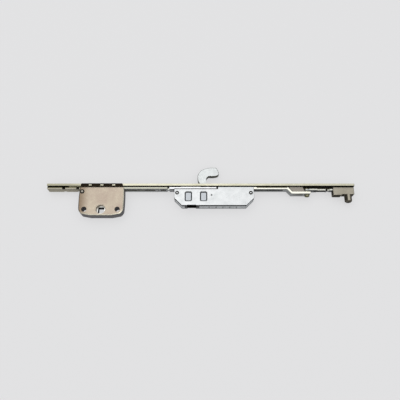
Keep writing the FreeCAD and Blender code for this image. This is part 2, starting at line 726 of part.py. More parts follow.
def make_clip():
    """Plastic channel that snaps over the forend's edges at the gearbox."""
    body = new_body("forend_clip")
    inner = size("forend_width") / 2 + size("clip_play")
    outer = inner + size("clip_cheek")
    web_top = forend_back - size("clip_play")
    web_low = web_top - size("clip_web")
    foot = web_low - size("clip_drop")
    front = size("backset")
    length = gearbox_in("clip_inset")
    ring = section(body, "clip_section", -length)
    outline(ring, [
        (foot, -outer), (front, -outer), (front, -inner), (web_top, -inner),
        (web_top, inner), (front, inner), (front, outer), (foot, outer),
        (foot, inner), (web_low, inner), (web_low, -inner), (foot, -inner),
    ])
    pad(body, ring, "clip_pad", length * 2)
    windows = side(body, "clip_windows")
    half = size("clip_window_width") / 2
    for step in (-1.0, 0.0, 1.0):
        middle = size("clip_window_spacing") * step
        box_outline(windows, middle - half, middle + half, web_top + size("clip_window_sill"),
                    front - size("clip_window_rim"))
    cut_through(body, windows, "clip_window_cut")
    holes = plan(body, "clip_holes", web_top)
    for place in screw_places()[:2]:
        circle(holes, place, 0.0, slot_half)
    cut_through(body, holes, "clip_hole_cut")
    end = gearbox_in("clip_inset").value
    rounding(body, lambda edge: near(abs(edge.BoundBox.XMin), end)
             and near(edge.BoundBox.XMax, edge.BoundBox.XMin)
             and near(edge.BoundBox.YMin, front)
             and near(edge.BoundBox.YMax, front),
             size("clip_corner"), "clip_rounding")
    keep("forend_clip", body)


def make_packer():
    """Thin strip between forend and rod, left of the gearbox."""
    body = new_body("forend_packer")
    half = size("packer_width") / 2
    sketch = plan(body, "packer_plan", forend_back)
    right = -(gearbox_in("clip_inset") + size("packer_gap"))
    box_outline(sketch, right - size("packer_length"), right, -half, half)
    pad(body, sketch, "packer_pad", size("packer_thickness"))
    keep("forend_packer", body)


def gearbox_bottom(inset_side, inset_bottom, top):
    """Corners of the gearbox outline from its upper left corner to its upper right one."""
    high = size("gearbox_half_top") - inset_side
    low = (size("gearbox_half_top") + size("gearbox_flare")) - inset_side
    corner = low - size("gearbox_corner_run")
    flat = size("gearbox_flat_half")
    start = size("gearbox_corner_rise")
    end = -(size("gearbox_corner_drop") - inset_bottom)
    bottom = -(size("gearbox_drop") - inset_bottom)
    bulge = size("gearbox_side_radius")
    radius = size("gearbox_corner_radius") - inset_side
    return [
        (-high, top, bulge, -1), (-low, start, radius, -1), (-corner, end),
        (-flat, bottom), (flat, bottom), (corner, end, radius, -1),
        (low, start, bulge, -1), (high, top),
    ]


def make_gearbox_housing():
    """Cast box: floor, U-shaped wall, corner blocks with posts, and bosses."""
    body = new_body("gearbox_housing")
    floor = side(body, "gearbox_floor", -box_face)
    outline(floor, gearbox_bottom(as_size(0.0), as_size(0.0), plate_top))
    pad(body, floor, "gearbox_floor_pad", size("sheet_thickness"))
    wall = side(body, "gearbox_wall_plan", -half_sheet)
    outer = gearbox_bottom(as_size(0.0), as_size(0.0), wall_top)
    inner = gearbox_bottom(size("gearbox_wall"), size("gearbox_bottom_wall"), wall_top)
    outline(wall, outer + reverse_corners(inner))
    pad(body, wall, "gearbox_wall_pad", half_sheet * 2)
    bosses = side(body, "gearbox_bosses", -half_sheet)
    reach = size("handle_screw_spacing") / 2
    for place in (-reach, reach):
        circle(bosses, place, 0.0, size("handle_boss_radius"))
    pad(body, bosses, "gearbox_boss_pad", half_sheet * 2)
    for name, place, outward in (("left", -gearbox_in("gearbox_post_inset"), -1.0),
                                 ("right", gearbox_in("gearbox_post_inset"), 1.0)):
        outer_face = gearbox_in("block_inset") * outward
        inner_face = (gearbox_in("block_inset") - size("gearbox_block_width")) * outward
        low, high = (outer_face, inner_face) if outward < 0 else (inner_face, outer_face)
        make_post(body, "gearbox_" + name, place, low, high)
    holes = side(body, "gearbox_holes")
    for place in (-reach, reach):
        circle(holes, place, 0.0, size("handle_hole_radius"))
    circle(holes, 0.0, 0.0, size("journal_radius") + size("running_play"))
    circle(holes, -gearbox_in("gearbox_rivet_inset"), size("gearbox_rivet_y"),
           size("gearbox_rivet_radius") + size("slip_play"))
    cut_through(body, holes, "gearbox_hole_cut")
    keep("gearbox_housing", body)


def reverse_corners(corners):
    """The same outline walked the other way."""
    result = []
    count = len(corners)
    for number in range(count - 1, -1, -1):
        corner = corners[number]
        before = corners[number - 1] if number else None
        if before is not None and len(before) > 2:
            result.append((corner[0], corner[1], before[2], -before[3]))
        else:
            result.append((corner[0], corner[1]))
    return result


def make_post(body, name, place, low, high):
    """Block under the rods, a round post through them up to the forend, and its screw hole."""
    block = plan(body, name + "_block", wall_top)
    box_outline(block, low, high, -half_sheet, half_sheet)
    pad(body, block, name + "_block_pad", size("post_block_depth"))
    post = plan(body, name + "_post", wall_top)
    circle(post, place, 0.0, size("post_radius"))
    pad_back(body, post, name + "_post_pad", forend_back - wall_top)
    hole = plan(body, name + "_screw_hole", forend_back)
    circle(hole, place, 0.0, size("screw_radius") + size("slip_play"))
    cut(body, hole, name + "_screw_cut", size("screw_grip") + size("bottom_play"), along_normal=True)


def make_gearbox_cover():
    """Plate on the front of the gearbox, with a sloped rim along its sides and bottom."""
    body = new_body("gearbox_cover")
    plate = side(body, "cover_plate", half_sheet)
    outline(plate, gearbox_bottom(as_size(0.0), as_size(0.0), plate_top))
    pad(body, plate, "cover_pad", size("sheet_thickness") - size("cover_rim_height"))
    doc.recompute()
    foot = side(body, "cover_rim_foot", box_face - size("cover_rim_height"))
    outline(foot, gearbox_bottom(as_size(0.0), as_size(0.0), plate_top))
    width = size("cover_rim_width")
    crest = side(body, "cover_rim_crest", box_face)
    outline(crest, gearbox_bottom(width, width, plate_top))
    ruled_loft(body, "AdditiveLoft", "cover_rim", foot, crest)
    holes = side(body, "cover_holes")
    reach = size("handle_screw_spacing") / 2
    for place in (-reach, reach):
        circle(holes, place, 0.0, size("handle_hole_radius"))
    circle(holes, 0.0, 0.0, size("journal_radius") + size("running_play"))
    circle(holes, -gearbox_in("gearbox_rivet_inset"), size("gearbox_rivet_y"),
           size("gearbox_rivet_radius") + size("slip_play"))
    cut_through(body, holes, "cover_hole_cut")
    keep("gearbox_cover", body)


def ruled_loft(body, kind, name, first, last):
    """Add or cut the straight-sided form between two sketches."""
    loft = body.newObject("PartDesign::" + kind, name)
    loft.Profile = first
    loft.Sections = [last]
    loft.Ruled = True
    body.Tip = loft
    doc.recompute()


def make_box_rivet(name, x, y, head, shank, seat, rise):
    """Rivet along Z through cover and floor, flush at the back, its head on a seat."""
    return turned(name, "XZ_Plane", -as_size(y), x, [
        (0.0, -box_face), (shank, -box_face), (shank, seat), (head, seat),
        (head, seat + size("rivet_rim")), (head - size("rivet_slope"), seat + rise),
        (0.0, seat + rise),
    ])


def make_box_rivets():
    """Rivets that hold the two covers."""
    keep("gearbox_rivet", make_box_rivet(
        "gearbox_cover_rivet", -gearbox_in("gearbox_rivet_inset"), size("gearbox_rivet_y"),
        size("gearbox_rivet_head"), size("gearbox_rivet_radius"), box_face,
        size("gearbox_rivet_rise")))
    seat = box_face - size("rivet_seat_depth")
    members = []
    for name, place in zip(("left", "right"), case_rivets):
        members.append(make_box_rivet(
            "hook_case_rivet_" + name, place, size("case_rivet_y"),
            size("case_rivet_head"), size("case_rivet_radius"), seat, size("case_rivet_rise")))
    group("hook_case_rivets", members)


def tooth_halves(pitch, tip, root):
    """Half widths of a straight-flanked tooth at its pitch line, tip and root."""
    middle = (pitch / 2 - size("tooth_play")) / 2
    return middle, middle - tip * FLANK_RUN, middle + root * FLANK_RUN


def make_gearbox_rack():
    """Toothed plate hung on the left rod by two lugs."""
    body = new_body("gearbox_rack")
    module = handle_pitch / math.pi
    tip = module * RACK_TIP
    root = module * TOOTH_ROOT
    tip_half, root_half = tooth_halves(handle_pitch, tip, root)[1:]
    tip_line = handle_pitch_radius - tip
    root_line = handle_pitch_radius + root
    first = -1
    last = int((size("stroke").value + handle_pitch.value) / handle_pitch.value)
    rack_end = gearbox_in("block_inset") - size("gearbox_block_width") - size("rack_end_play")
    corners = [(-size("rack_left"), root_line)]
    for number in range(first, last + 1):
        middle = handle_pitch * float(number)
        corners += [
            (middle - root_half, root_line), (middle - tip_half, tip_line),
            (middle + tip_half, tip_line), (middle + root_half, root_line),
        ]
    corners += [(rack_end, root_line), (rack_end, rod_under),
                (-size("rack_left"), rod_under)]
    profile = side(body, "rack_profile")
    outline(profile, corners)
    pad(body, profile, "rack_pad", size("gear_half_thickness") * 2, "Symmetric")
    lugs = side(body, "rack_lugs")
    for start in lug_places():
        box_outline(lugs, start, start + size("lug_size"), rod_under, rod_top)
    pad(body, lugs, "rack_lug_pad", size("lug_size"), "Symmetric")
    keep("gearbox_rack", body)


def lug_places():
    return [size("lug_first"), size("lug_first") + size("lug_spacing")]


def coupling_head(place, gap, way):
    """Corners of a T-shaped head on a rod whose shoulder is at place; way is 1 or -1."""
    neck = size("joint_neck_width") / 2
    head = size("joint_head_width") / 2
    throat = place + (gap + size("joint_neck_length") + size("joint_play")) * way
    tip = throat + size("joint_head_length") * way
    return [(place, neck), (throat, neck), (throat, head), (tip, head),
            (tip, -head), (throat, -head), (throat, -neck), (place, -neck)]


def coupling_socket(place, way):
    """Corners of the socket for such a head, in a strip whose end is at place."""
    play = size("joint_play")
    neck = size("joint_neck_width") / 2 + play
    head = size("joint_head_width") / 2 + play
    throat = place + size("joint_neck_length") * way
    tip = throat + (size("joint_head_length") + play * 2) * way
    return [(place, neck), (throat, neck), (throat, head), (tip, head),
            (tip, -head), (throat, -head), (throat, -neck), (place, -neck)]


def make_left_rod():
    """Drive rod over the gearbox, with edge notches, slots and a coupling head."""
    body = new_body("drive_rod_left")
    half = size("rod_width") / 2
    inner = half - size("rod_notch_depth")
    left = -size("forend_reach_left")
    right = rod_shoulder
    notch = size("rod_notch_width") / 2
    places = [-size("rod_notch_first"), -size("rod_notch_second")]
    lower = [(left, -half)]
    for place in places:
        lower += [(place - notch, -half), (place - notch, -inner),
                  (place + notch, -inner), (place + notch, -half)]
    upper = [(x, -z) for x, z in reversed(lower)]
    head = [(x, -z) for x, z in coupling_head(right, size("joint_gap"), 1.0)]
    strip = plan(body, "left_rod_plan", rod_top)
    outline(strip, lower + [(right, -half)] + head + [(right, half)] + upper)
    travel = size("stroke")
    post = gearbox_in("gearbox_post_inset")
    round_slot(strip, -post - slot_half, -post + slot_half + travel, slot_half)
    round_slot(strip, post - slot_half, from_shoulder("rod_slot_end"), slot_half)
    round_slot(strip, from_shoulder("short_slot_start"), from_shoulder("short_slot_end"), slot_half)
    circle(strip, from_shoulder("button_at"), 0.0, size("button_shank") + size("slip_play"))
    window = size("lug_size") / 2 + size("lug_play")
    for start in lug_places():
        box_outline(strip, start - size("lug_play"), start + size("lug_size") + size("lug_play"),
                    -window, window)
    pad(body, strip, "left_rod_pad", size("rod_thickness"))
    keep("drive_rod_left", body)


def make_button():
    """Guide button riveted in the left rod."""
    shank = size("button_shank")
    bevelled = size("button_radius") - size("edge_bevel")
    low = rod_under - size("button_height")
    radius = size("button_radius")
    keep("guide_button", turned("button", "XY_Plane", 0.0, from_shoulder("button_at"), [
        (0.0, low), (bevelled, low), (radius, low + size("edge_bevel")), (radius, rod_under),
        (shank, rod_under), (shank, rod_top), (0.0, rod_top),
    ]))


def make_hook_slide():
    """Strip over the hook case, with the hook's window and its ladder of teeth."""
    body = new_body("hook_slide")
    half = size("rod_width") / 2
    left = rod_shoulder + size("joint_gap")
    right = right_of_pin("right_joint_at")
    strip = plan(body, "slide_plan", rod_top)
    left_socket = coupling_socket(left, 1.0)
    right_socket = [(x, -z) for x, z in coupling_socket(right, -1.0)]
    outline(strip, [(left, -half), (right, -half)] + right_socket
            + [(right, half), (left, half)] + left_socket)
    post = case_posts[0]
    post_end = post + slot_half + size("stroke")
    window_left = left_of_pin("hook_window_left")
    window_half = size("hook_window_half")
    window_right = size("hook_pivot_x") - hook_pitch / 2
    outline(strip, [
        (post - slot_half, -slot_half), (window_left, -slot_half), (window_left, -window_half),
        (window_right, -window_half), (window_right, window_half), (window_left, window_half),
        (window_left, slot_half), (post - slot_half, slot_half),
    ])
    pad(body, strip, "slide_pad", size("rod_thickness"))
    rise = size("rod_thickness") / 2
    middle_half, low_half, high_half = tooth_halves(hook_pitch, rise, rise)
    last = int((size("stroke").value + hook_pitch.value) / hook_pitch.value)
    ladder = side(body, "slide_ladder")
    for number in range(0, last + 2):
        right_web = size("hook_pivot_x") + hook_pitch * float(number)
        left_web = right_web - hook_pitch
        outline(ladder, [
            (left_web + low_half, rod_under), (right_web - low_half, rod_under),
            (right_web - high_half, rod_top), (left_web + high_half, rod_top),
        ])
    cut(body, ladder, "slide_ladder_cut", window_half * 2, way="Symmetric")
    keep("hook_slide", body)


def make_right_rod():
    """Drive rod from the hook case to the end, cranked down near its end."""
    body = new_body("drive_rod_right")
    start = right_of_pin("right_joint_at") + size("right_joint_gap")
    end = from_end("rod_b_end")
    bend_a = from_end("crank_start")
    bend_b = from_end("crank_end")
    lag = size("crank_lag")
    profile = side(body, "right_rod_profile")
    outline(profile, [
        (start, rod_under), (bend_a - lag, rod_under), (bend_b - lag, crank_under),
        (end, crank_under), (end, crank_top), (bend_b, crank_top), (bend_a, rod_top), (start, rod_top),
    ])
    pad(body, profile, "right_rod_pad", size("rod_width"), "Symmetric")
    head = plan(body, "right_rod_head", rod_top)
    corners = coupling_head(start, size("right_joint_gap"), -1.0)
    outline(head, corners)
    pad(body, head, "right_rod_head_pad", size("rod_thickness"))
    holes = plan(body, "right_rod_holes", rod_top)
    round_slot(holes, case_posts[1] - slot_half, from_end("rod_slot_b_end"), slot_half)
    round_slot(holes, from_end("block_slot_left"), from_end("block_slot_right"), size("block_slot_half"))
    circle(holes, from_end("spacer_rivet_at"), 0.0, size("spacer_rivet_radius") + size("slip_play"))
    circle(holes, from_end("stud_at"), 0.0, size("stud_radius") + size("slip_play"))
    cut_through(body, holes, "right_rod_hole_cut")
    keep("drive_rod_right", body)


def make_spacer():
    """Block on the cranked rod, with a lug through it, sliding behind the forend."""
    body = new_body("spacer_block")
    top = forend_back - size("spacer_play")
    half = size("spacer_half_width")
    profile = side(body, "spacer_profile")
    outline(profile, [
        (from_end("spacer_left_low"), crank_top), (from_end("spacer_right_low"), crank_top),
        (from_end("spacer_right_top"), top), (from_end("spacer_left_top"), top),
    ])
    pad(body, profile, "spacer_pad", half * 2, "Symmetric")
    lug = plan(body, "spacer_lug", crank_top)
    play = size("slip_play")
    round_slot(lug, from_end("block_slot_left") + play, from_end("block_slot_right") - play,
               size("block_slot_half") - play)
    pad(body, lug, "spacer_lug_pad", size("rod_thickness"))
    hole = plan(body, "spacer_rivet_hole", top)
    circle(hole, from_end("spacer_rivet_at"), 0.0, size("spacer_rivet_radius") + play)
    cut_through(body, hole, "spacer_hole_cut")
    keep("spacer_block", body)
    shank = size("spacer_rivet_radius")
    head = size("spacer_rivet_head")
    low = crank_under - size("spacer_rivet_height")
    bevelled = head - size("edge_bevel")
    keep("spacer_block_rivet", turned("spacer_rivet", "XY_Plane", 0.0, from_end("spacer_rivet_at"), [
        (0.0, low), (bevelled, low), (head, low + size("edge_bevel")), (head, crank_under),
        (shank, crank_under), (shank, top), (0.0, top),
    ]))


def make_stud():
    """Stud that ties the end slide to the right rod."""
    shank = size("stud_radius")
    boss = size("stud_boss_radius")
    collar = size("stud_collar_radius")
    head = size("stud_head_radius")
    low = crank_under - size("stud_boss_height")
    slide_low = size("slide_top") - size("slide_thickness")
    top = size("slide_top") + size("stud_head_height")
    chamfer = size("stud_chamfer")
    keep("rod_end_stud", turned("stud", "XY_Plane", 0.0, from_end("stud_at"), [
        (0.0, low), (boss - chamfer, low), (boss, low + chamfer), (boss, crank_under),
        (shank, crank_under), (shank, crank_top), (collar, crank_top), (collar, slide_low),
        (shank, slide_low), (shank, size("slide_top")), (head, size("slide_top")),
        (head, top), (0.0, top),
    ]))


def make_end_slide():
    """Flat slide from the stud into the end block."""
    body = new_body("end_slide")
    eye = size("slide_eye_radius")
    wide = size("slide_half_width")
    set_back = wide - size("slide_edge_depth")
    neck = size("slide_neck_half")
    tongue = size("tongue_half_width")
    upper = [
        (from_end("slide_start"), eye), (from_end("slide_start"), wide),
        (from_end("slide_edge_left"), wide), (from_end("slide_edge_left"), set_back),
        (from_end("slide_edge_right"), set_back),
        (from_end("slide_edge_right"), wide), (from_end("slide_neck_left"), wide),
        (from_end("slide_neck_left"), neck), (from_end("slide_neck_right"), neck),
        (from_end("slide_neck_right"), tongue), (from_end("tongue_end"), tongue),
    ]
    lower = [(x, -z) for x, z in reversed(upper)]
    strip = plan(body, "end_slide_plan", size("slide_top"))
    outline(strip, upper + lower + [(from_end("stud_at"), -eye, None, 1), (from_end("stud_at"), eye)])
    circle(strip, from_end("stud_at"), 0.0, size("stud_radius") + size("slip_play"))
    pad(body, strip, "end_slide_pad", size("slide_thickness"))
    keep("end_slide", body)


def make_end_block():
    """Cast block that guides the end slide, with its seat, spigot and peg."""
    body = new_body("end_block")
    left = from_end("end_block_left")
    right = from_end("end_block_right")
    step = from_end("end_block_step")
    low = size("end_block_low")
    high = size("end_block_high")
    profile = side(body, "end_block_profile")
    outline(profile, [
        (left, low), (step - size("end_block_slope"), low), (step, high),
        (right, high), (right, plate_top), (left, plate_top),
    ])
    pad(body, profile, "end_block_pad", size("end_block_half") * 2, "Symmetric")
    rounding(body, is_upright, size("end_block_round"), "end_block_rounding")
    seat = plan(body, "end_block_seat", forend_back)
    box_outline(seat, from_end("end_seat_left"), from_end("end_seat_right"),
                -size("end_seat_half"), size("end_seat_half"))
    pad(body, seat, "end_block_seat_pad", forend_back - plate_top)
    spigot = plan(body, "end_block_spigot", forend_back)
    circle(spigot, from_end("spigot_at"), 0.0, size("spigot_radius"))
    pad_back(body, spigot, "end_block_spigot_pad", size("spigot_height"))
    peg = plan(body, "end_block_peg", high)
    circle(peg, from_end("peg_at"), 0.0, size("peg_radius"))
    pad(body, peg, "end_block_peg_pad", high - size("peg_tip"))
    bevel(body, lies_at_y(size("peg_tip")), size("peg_bevel"), "peg_bevelling")
    doc.recompute()
    play = size("channel_play")
    channel = section(body, "end_block_channel", left)
    box_outline(channel, size("slide_top") - size("slide_thickness") - play, size("slide_top") + play,
                -size("tongue_half_width") - play, size("tongue_half_width") + play)
    cut(body, channel, "end_block_channel_cut", from_end("end_channel_end") - left, along_normal=True)
    hole = plan(body, "end_block_screw_hole", forend_back)
    circle(hole, from_end("end_screw_at"), 0.0, size("screw_radius") + size("slip_play"))
    cut(body, hole, "end_block_screw_cut", size("end_screw_grip") + size("bottom_play"),
        along_normal=True)
    keep("end_block", body)


def case_corners(inset, top_left, top_right):
    """Corners of the hook case outline, from its upper left one round the bottom."""
    left = case_left + inset
    right = case_right - inset
    bottom = size("case_bottom") + inset
    slope = size("case_chamfer") + inset * (math.sqrt(2.0) - 2.0)
    return [(left, top_left), (left, bottom + slope), (left + slope, bottom),
            (right - slope, bottom), (right, bottom + slope), (right, top_right)]


def make_case_housing():
    """Box of the hook: floor, U-shaped wall, posts, cut-out and grooves."""
    body = new_body("hook_case_housing")
    floor = side(body, "case_floor", -box_face)
    outline(floor, case_plate_corners())
    pad(body, floor, "case_floor_pad", size("sheet_thickness"))
    overhang = size("plate_overhang")
    wall = side(body, "case_wall_plan", -half_sheet)
    outer = case_corners(overhang, wall_top, wall_top)
    inner = case_corners(overhang + size("case_wall"), wall_top, wall_top)
    outline(wall, outer + reverse_corners(inner))
    pad(body, wall, "case_wall_pad", half_sheet * 2)
    block = size("case_block_width")
    make_post(body, "case_left", case_posts[0], case_left + overhang, case_left + block)
    make_post(body, "case_right", case_posts[1], case_posts[1] - block / 2, case_right - overhang)
    low = size("case_bottom") - CUT_OVER
    wall_face = size("case_bottom") + overhang
    cutout = side(body, "case_cutout", -half_sheet)
    box_outline(cutout, left_of_pin("cutout_left"), left_of_pin("cutout_right"), low,
                wall_face + size("case_wall") + CUT_OVER)
    for number in range(int(size("groove_count").value)):
        start = left_of_pin("groove_first") + size("groove_pitch") * float(number)
        box_outline(cutout, start, start + size("groove_width"), low,
                    wall_face + size("groove_depth"))
    cut(body, cutout, "case_cutout_cut", half_sheet * 2, along_normal=True)
    details = side(body, "case_details")
    box_outline(details, left_of_pin("notch_left"), left_of_pin("notch_right"), low,
                size("case_bottom") + size("cutout_notch"))
    for x in case_rivets:
        circle(details, x, size("case_rivet_y"), size("case_rivet_radius") + size("slip_play"))
    circle(details, size("hook_pivot_x"), hook_pivot_y, size("pip_radius") + size("slip_play"))
    cut_through(body, details, "case_detail_cut")
    keep("hook_case_housing", body)


def case_plate_corners():
    """Outline of the hook case's floor and cover, with the step in its top."""
    corners = case_corners(as_size(0.0), size("case_left_top"), plate_top)
    step = right_of_pin("case_step")
    return corners + [(step, plate_top), (step, size("case_left_top"))]


def rounded_box(sketch, middle_x, middle_y, width, height, corner):
    """Rectangle with round corners."""
    left = middle_x - width / 2
    right = middle_x + width / 2
    low = middle_y - height / 2
    high = middle_y + height / 2
    outline(sketch, [
        (left + corner, low), (right - corner, low, corner, -1),
        (right, low + corner), (right, high - corner, corner, -1),
        (right - corner, high), (left + corner, high, corner, -1),
        (left, high - corner), (left, low + corner, corner, -1),
    ])


def make_case_cover():
    """Front plate of the hook case with its two pressed pockets."""
    body = new_body("hook_case_cover")
    plate = side(body, "case_plate", half_sheet)
    outline(plate, case_plate_corners())
    pad(body, plate, "case_plate_pad", size("sheet_thickness"))
    doc.recompute()
    bevel(body, lies_at_z(box_face), size("edge_bevel"), "case_plate_bevel")
    depth = size("pressing_depth")
    slope = size("pressing_slope") * 2
    for number in (0.0, 1.0):
        middle = left_of_pin("pressing_first") + size("pressing_spacing") * number
        tag = "pressing_%d_" % int(number)
        place = (middle, size("pressing_y"))
        width = size("pressing_width")
        height = size("pressing_height")
        corner = size("pressing_corner")
        grow = size("pressing_wall") * 2
        outside = side(body, tag + "back_top", half_sheet)
        rounded_box(outside, *place, width + grow, height + grow, corner + grow / 2)
        inside = side(body, tag + "back_low", half_sheet - depth)
        rounded_box(inside, *place, width + grow - slope, height + grow - slope, corner)
        ruled_loft(body, "AdditiveLoft", tag + "shell", outside, inside)
        mouth = side(body, tag + "mouth", box_face)
        rounded_box(mouth, *place, width, height, corner)
        floor = side(body, tag + "floor", box_face - depth)
        rounded_box(floor, *place, width - slope, height - slope, corner / 2)
        ruled_loft(body, "SubtractiveLoft", tag + "hollow", mouth, floor)
    details = side(body, "case_cover_details")
    box_outline(details, left_of_pin("notch_left"), left_of_pin("notch_right"),
                size("case_bottom") - CUT_OVER, size("case_bottom") + size("cutout_notch"))
    for x in case_rivets:
        circle(details, x, size("case_rivet_y"), size("case_rivet_radius") + size("slip_play"))
    circle(details, size("hook_pivot_x"), hook_pivot_y, size("pip_radius") + size("slip_play"))
    cut_through(body, details, "case_cover_cut")
    seats = side(body, "case_rivet_seats", box_face)
    for x in case_rivets:
        circle(seats, x, size("case_rivet_y"), size("rivet_seat_radius"))
    cut(body, seats, "case_rivet_seat_cut", size("rivet_seat_depth"))
    keep("hook_case_cover", body)


def make_pivot_pin():
    """Pin that the hook swings on, held by its thinner ends."""
    pin = size("pivot_radius")
    pip = size("pip_radius")
    top = box_face - size("pip_recess")
    keep("hook_pivot_pin", turned("pivot_pin", "XZ_Plane", -hook_pivot_y, size("hook_pivot_x"), [
        (0.0, -box_face), (pip, -box_face), (pip, -half_sheet), (pin, -half_sheet),
        (pin, half_sheet), (pip, half_sheet), (pip, top), (0.0, top),
    ]))


def polar(centre, radius, angle):
    return FreeCAD.Vector(centre.x + radius * math.cos(angle), centre.y + radius * math.sin(angle), 0)


def flank_points(centre, pitch_radius, module, play, middle, way):
    """Involute flank on one side of a tooth: its root, and three points from base to tip."""
    base = pitch_radius * math.cos(PRESSURE_ANGLE)
    root = pitch_radius - module * TOOTH_ROOT
    tip = pitch_radius + module * GEAR_TIP
    half_at_pitch = (math.pi * module - play) / (4.0 * pitch_radius)
    unwound_at_pitch = FLANK_RUN - PRESSURE_ANGLE
    points = [polar(centre, root, middle + way * (half_at_pitch + unwound_at_pitch))]
    for radius in (base, (base + tip) / 2, tip):
        turn = math.acos(min(base / radius, 1.0))
        unwound = math.tan(turn) - turn
        angle = middle + way * (half_at_pitch + unwound_at_pitch - unwound)
        points.append(polar(centre, radius, angle))
    return points


def flank_edges(points):
    """A short straight run from the root to the base circle, then the curved flank."""
    return [Part.LineSegment(points[0], points[1]).toShape(), Part.Arc(*points[1:]).toShape()]


def toothed_sector(centre, pitch_radius, teeth_in_turn, play, span):
    """Flat face of a gear sector; teeth stand at whole steps from half a step past straight up."""
    step = 2.0 * math.pi / teeth_in_turn
    module = 2.0 * pitch_radius / teeth_in_turn
    root = pitch_radius - module * TOOTH_ROOT
    edges = []
    foot = None
    for number in range(span[0], span[1] + 1):
        middle = math.pi / 2 - step / 2 + step * number
        rising = flank_points(centre, pitch_radius, module, play, middle, -1.0)
        falling = flank_points(centre, pitch_radius, module, play, middle, 1.0)
        if foot is None:
            edges.append(Part.LineSegment(centre, rising[0]).toShape())
        else:
            between = polar(centre, root, middle - step / 2)
            edges.append(Part.Arc(foot, between, rising[0]).toShape())
        crest = polar(centre, pitch_radius + module * GEAR_TIP, middle)
        edges += flank_edges(rising)
        edges.append(Part.Arc(rising[-1], crest, falling[-1]).toShape())
        edges += flank_edges(falling)
        foot = falling[0]
    edges.append(Part.LineSegment(foot, centre).toShape())
    return Part.Face(Part.Wire(Part.__sortEdges__(edges)))


def prism(face, low, high):
    """Solid between two levels from a face at zero."""
    face = face.copy()
    face.translate(FreeCAD.Vector(0, 0, low))
    return face.extrude(FreeCAD.Vector(0, 0, high - low))


def drum(centre, radius, half):
    base = FreeCAD.Vector(centre.x, centre.y, -half)
    return Part.makeCylinder(radius, half * 2, base)


def solid_feature(label, shape):
    """Single clean solid as a feature of the document."""
    shape = shape.removeSplitter()
    if len(shape.Solids) != 1:
        raise RuntimeError("%s is %d solids" % (label, len(shape.Solids)))
    feature = doc.addObject("Part::Feature", label)
    feature.Shape = shape.Solids[0]
    return keep(label, feature)


def make_follower():
    """Follower with its square hole, journals and toothed sector."""
    centre = FreeCAD.Vector(0, 0, 0)
    gear = size("gear_half_thickness").value
    between = (half_sheet - size("side_play")).value
    outer = (box_face - size("follower_recess")).value
    sector = toothed_sector(centre, handle_pitch_radius.value, size("teeth_in_full_turn").value,
                            size("tooth_play").value, FOLLOWER_TEETH)
    body = prism(sector, -gear, gear)
    body = body.fuse(drum(centre, size("follower_hub_radius").value, between))
    body = body.fuse(drum(centre, size("journal_radius").value, outer))
    side_length = size("spindle_square").value
    corner = FreeCAD.Vector(-side_length / 2, -side_length / 2, -outer - CUT_OVER)
    length = (outer + CUT_OVER) * 2
    body = body.cut(Part.makeBox(side_length, side_length, length, corner))
    solid_feature("follower", body)


def hook_outline_face(hub):
    """Face of the hook's head and neck, down to its hub."""
    def over(name):
        """Point given from the pin and the forend's face."""
        return FreeCAD.Vector((size("hook_pivot_x") + size(name + "_x")).value,
                              (size("backset") + size(name + "_y")).value, 0)

    def under(name, drop):
        """Point given from the pin and down from the hook's top."""
        top = size("backset") + size("hook_height")
        return FreeCAD.Vector((size("hook_pivot_x") + size(name + "_x")).value,
                              (top - drop).value, 0)

    def line(start, end):
        return Part.LineSegment(start, end).toShape()

    def arc(start, middle, end):
        return Part.Arc(start, middle, end).toShape()

    radius = size("hook_hub_radius")
    heel = polar(hub, (radius + size("heel_reach")).value, math.radians(size("heel_angle").value))
    heel_low = polar(hub, radius.value, math.radians(size("heel_low_angle").value))
    head = {name: under(name, size(name + "_drop"))
            for name in ("shoulder", "crown", "brow", "tip", "nose", "beak", "beak_low", "throat",
                         "bend_top", "bend")}
    flat = [under(name, as_size(0.0)) for name in ("top_left", "top_right")]
    return Part.Face(Part.Wire([
        line(hub, heel_low),
        line(heel_low, heel),
        arc(heel, over("heel_bend"), over("back_low")),
        arc(over("back_low"), over("back"), head["shoulder"]),
        arc(head["shoulder"], head["crown"], head["brow"]),
        line(head["brow"], flat[0]),
        line(flat[0], flat[1]),
        line(flat[1], head["tip"]),
        arc(head["tip"], head["nose"], head["beak"]),
        line(head["beak"], head["beak_low"]),
        arc(head["beak_low"], head["throat"], head["bend_top"]),
        arc(head["bend_top"], head["bend"], over("neck")),
        arc(over("neck"), over("neck_low"), over("neck_root")),
        line(over("neck_root"), hub),
    ]))


def make_hook():
    """Hook with its neck, thick hub and toothed sector."""
    hub = FreeCAD.Vector(size("hook_pivot_x").value, hook_pivot_y.value, 0)
    half = size("hook_half_thickness").value
    between = (half_sheet - size("side_play")).value
    head = prism(hook_outline_face(hub), -half, half)
    lowest = (size("backset") + size("hook_height") - size("bevel_reach")).value
    rim = [edge for edge in head.Edges
           if near(edge.BoundBox.ZMin, edge.BoundBox.ZMax) and edge.CenterOfMass.y > lowest]
    head = head.makeChamfer(size("hook_bevel").value, rim)
    sector = toothed_sector(hub, hook_pitch_radius.value, size("teeth_in_full_turn").value,
                            size("tooth_play").value, HOOK_TEETH)
    body = head.fuse(prism(sector, -half, half))
    body = body.fuse(drum(hub, size("hook_hub_radius").value, between))
    bore = size("pivot_radius").value + size("running_play").value
    body = body.cut(drum(hub, bore, box_face.value))
    solid_feature("hook", body)


def check_document():
    """Stop if any object failed or any sub-part isn't a valid solid."""
    doc.recompute()
    failed = [item.Name for item in doc.Objects if {"Invalid", "Error"} & set(item.State)]
    if failed:
        raise RuntimeError("failed objects: " + ", ".join(failed))
    bad = [item.Label for item in parts
           if item.Shape.isNull() or not item.Shape.isValid() or not item.Shape.Solids]
    if bad:
        raise RuntimeError("bad shapes: " + ", ".join(bad))


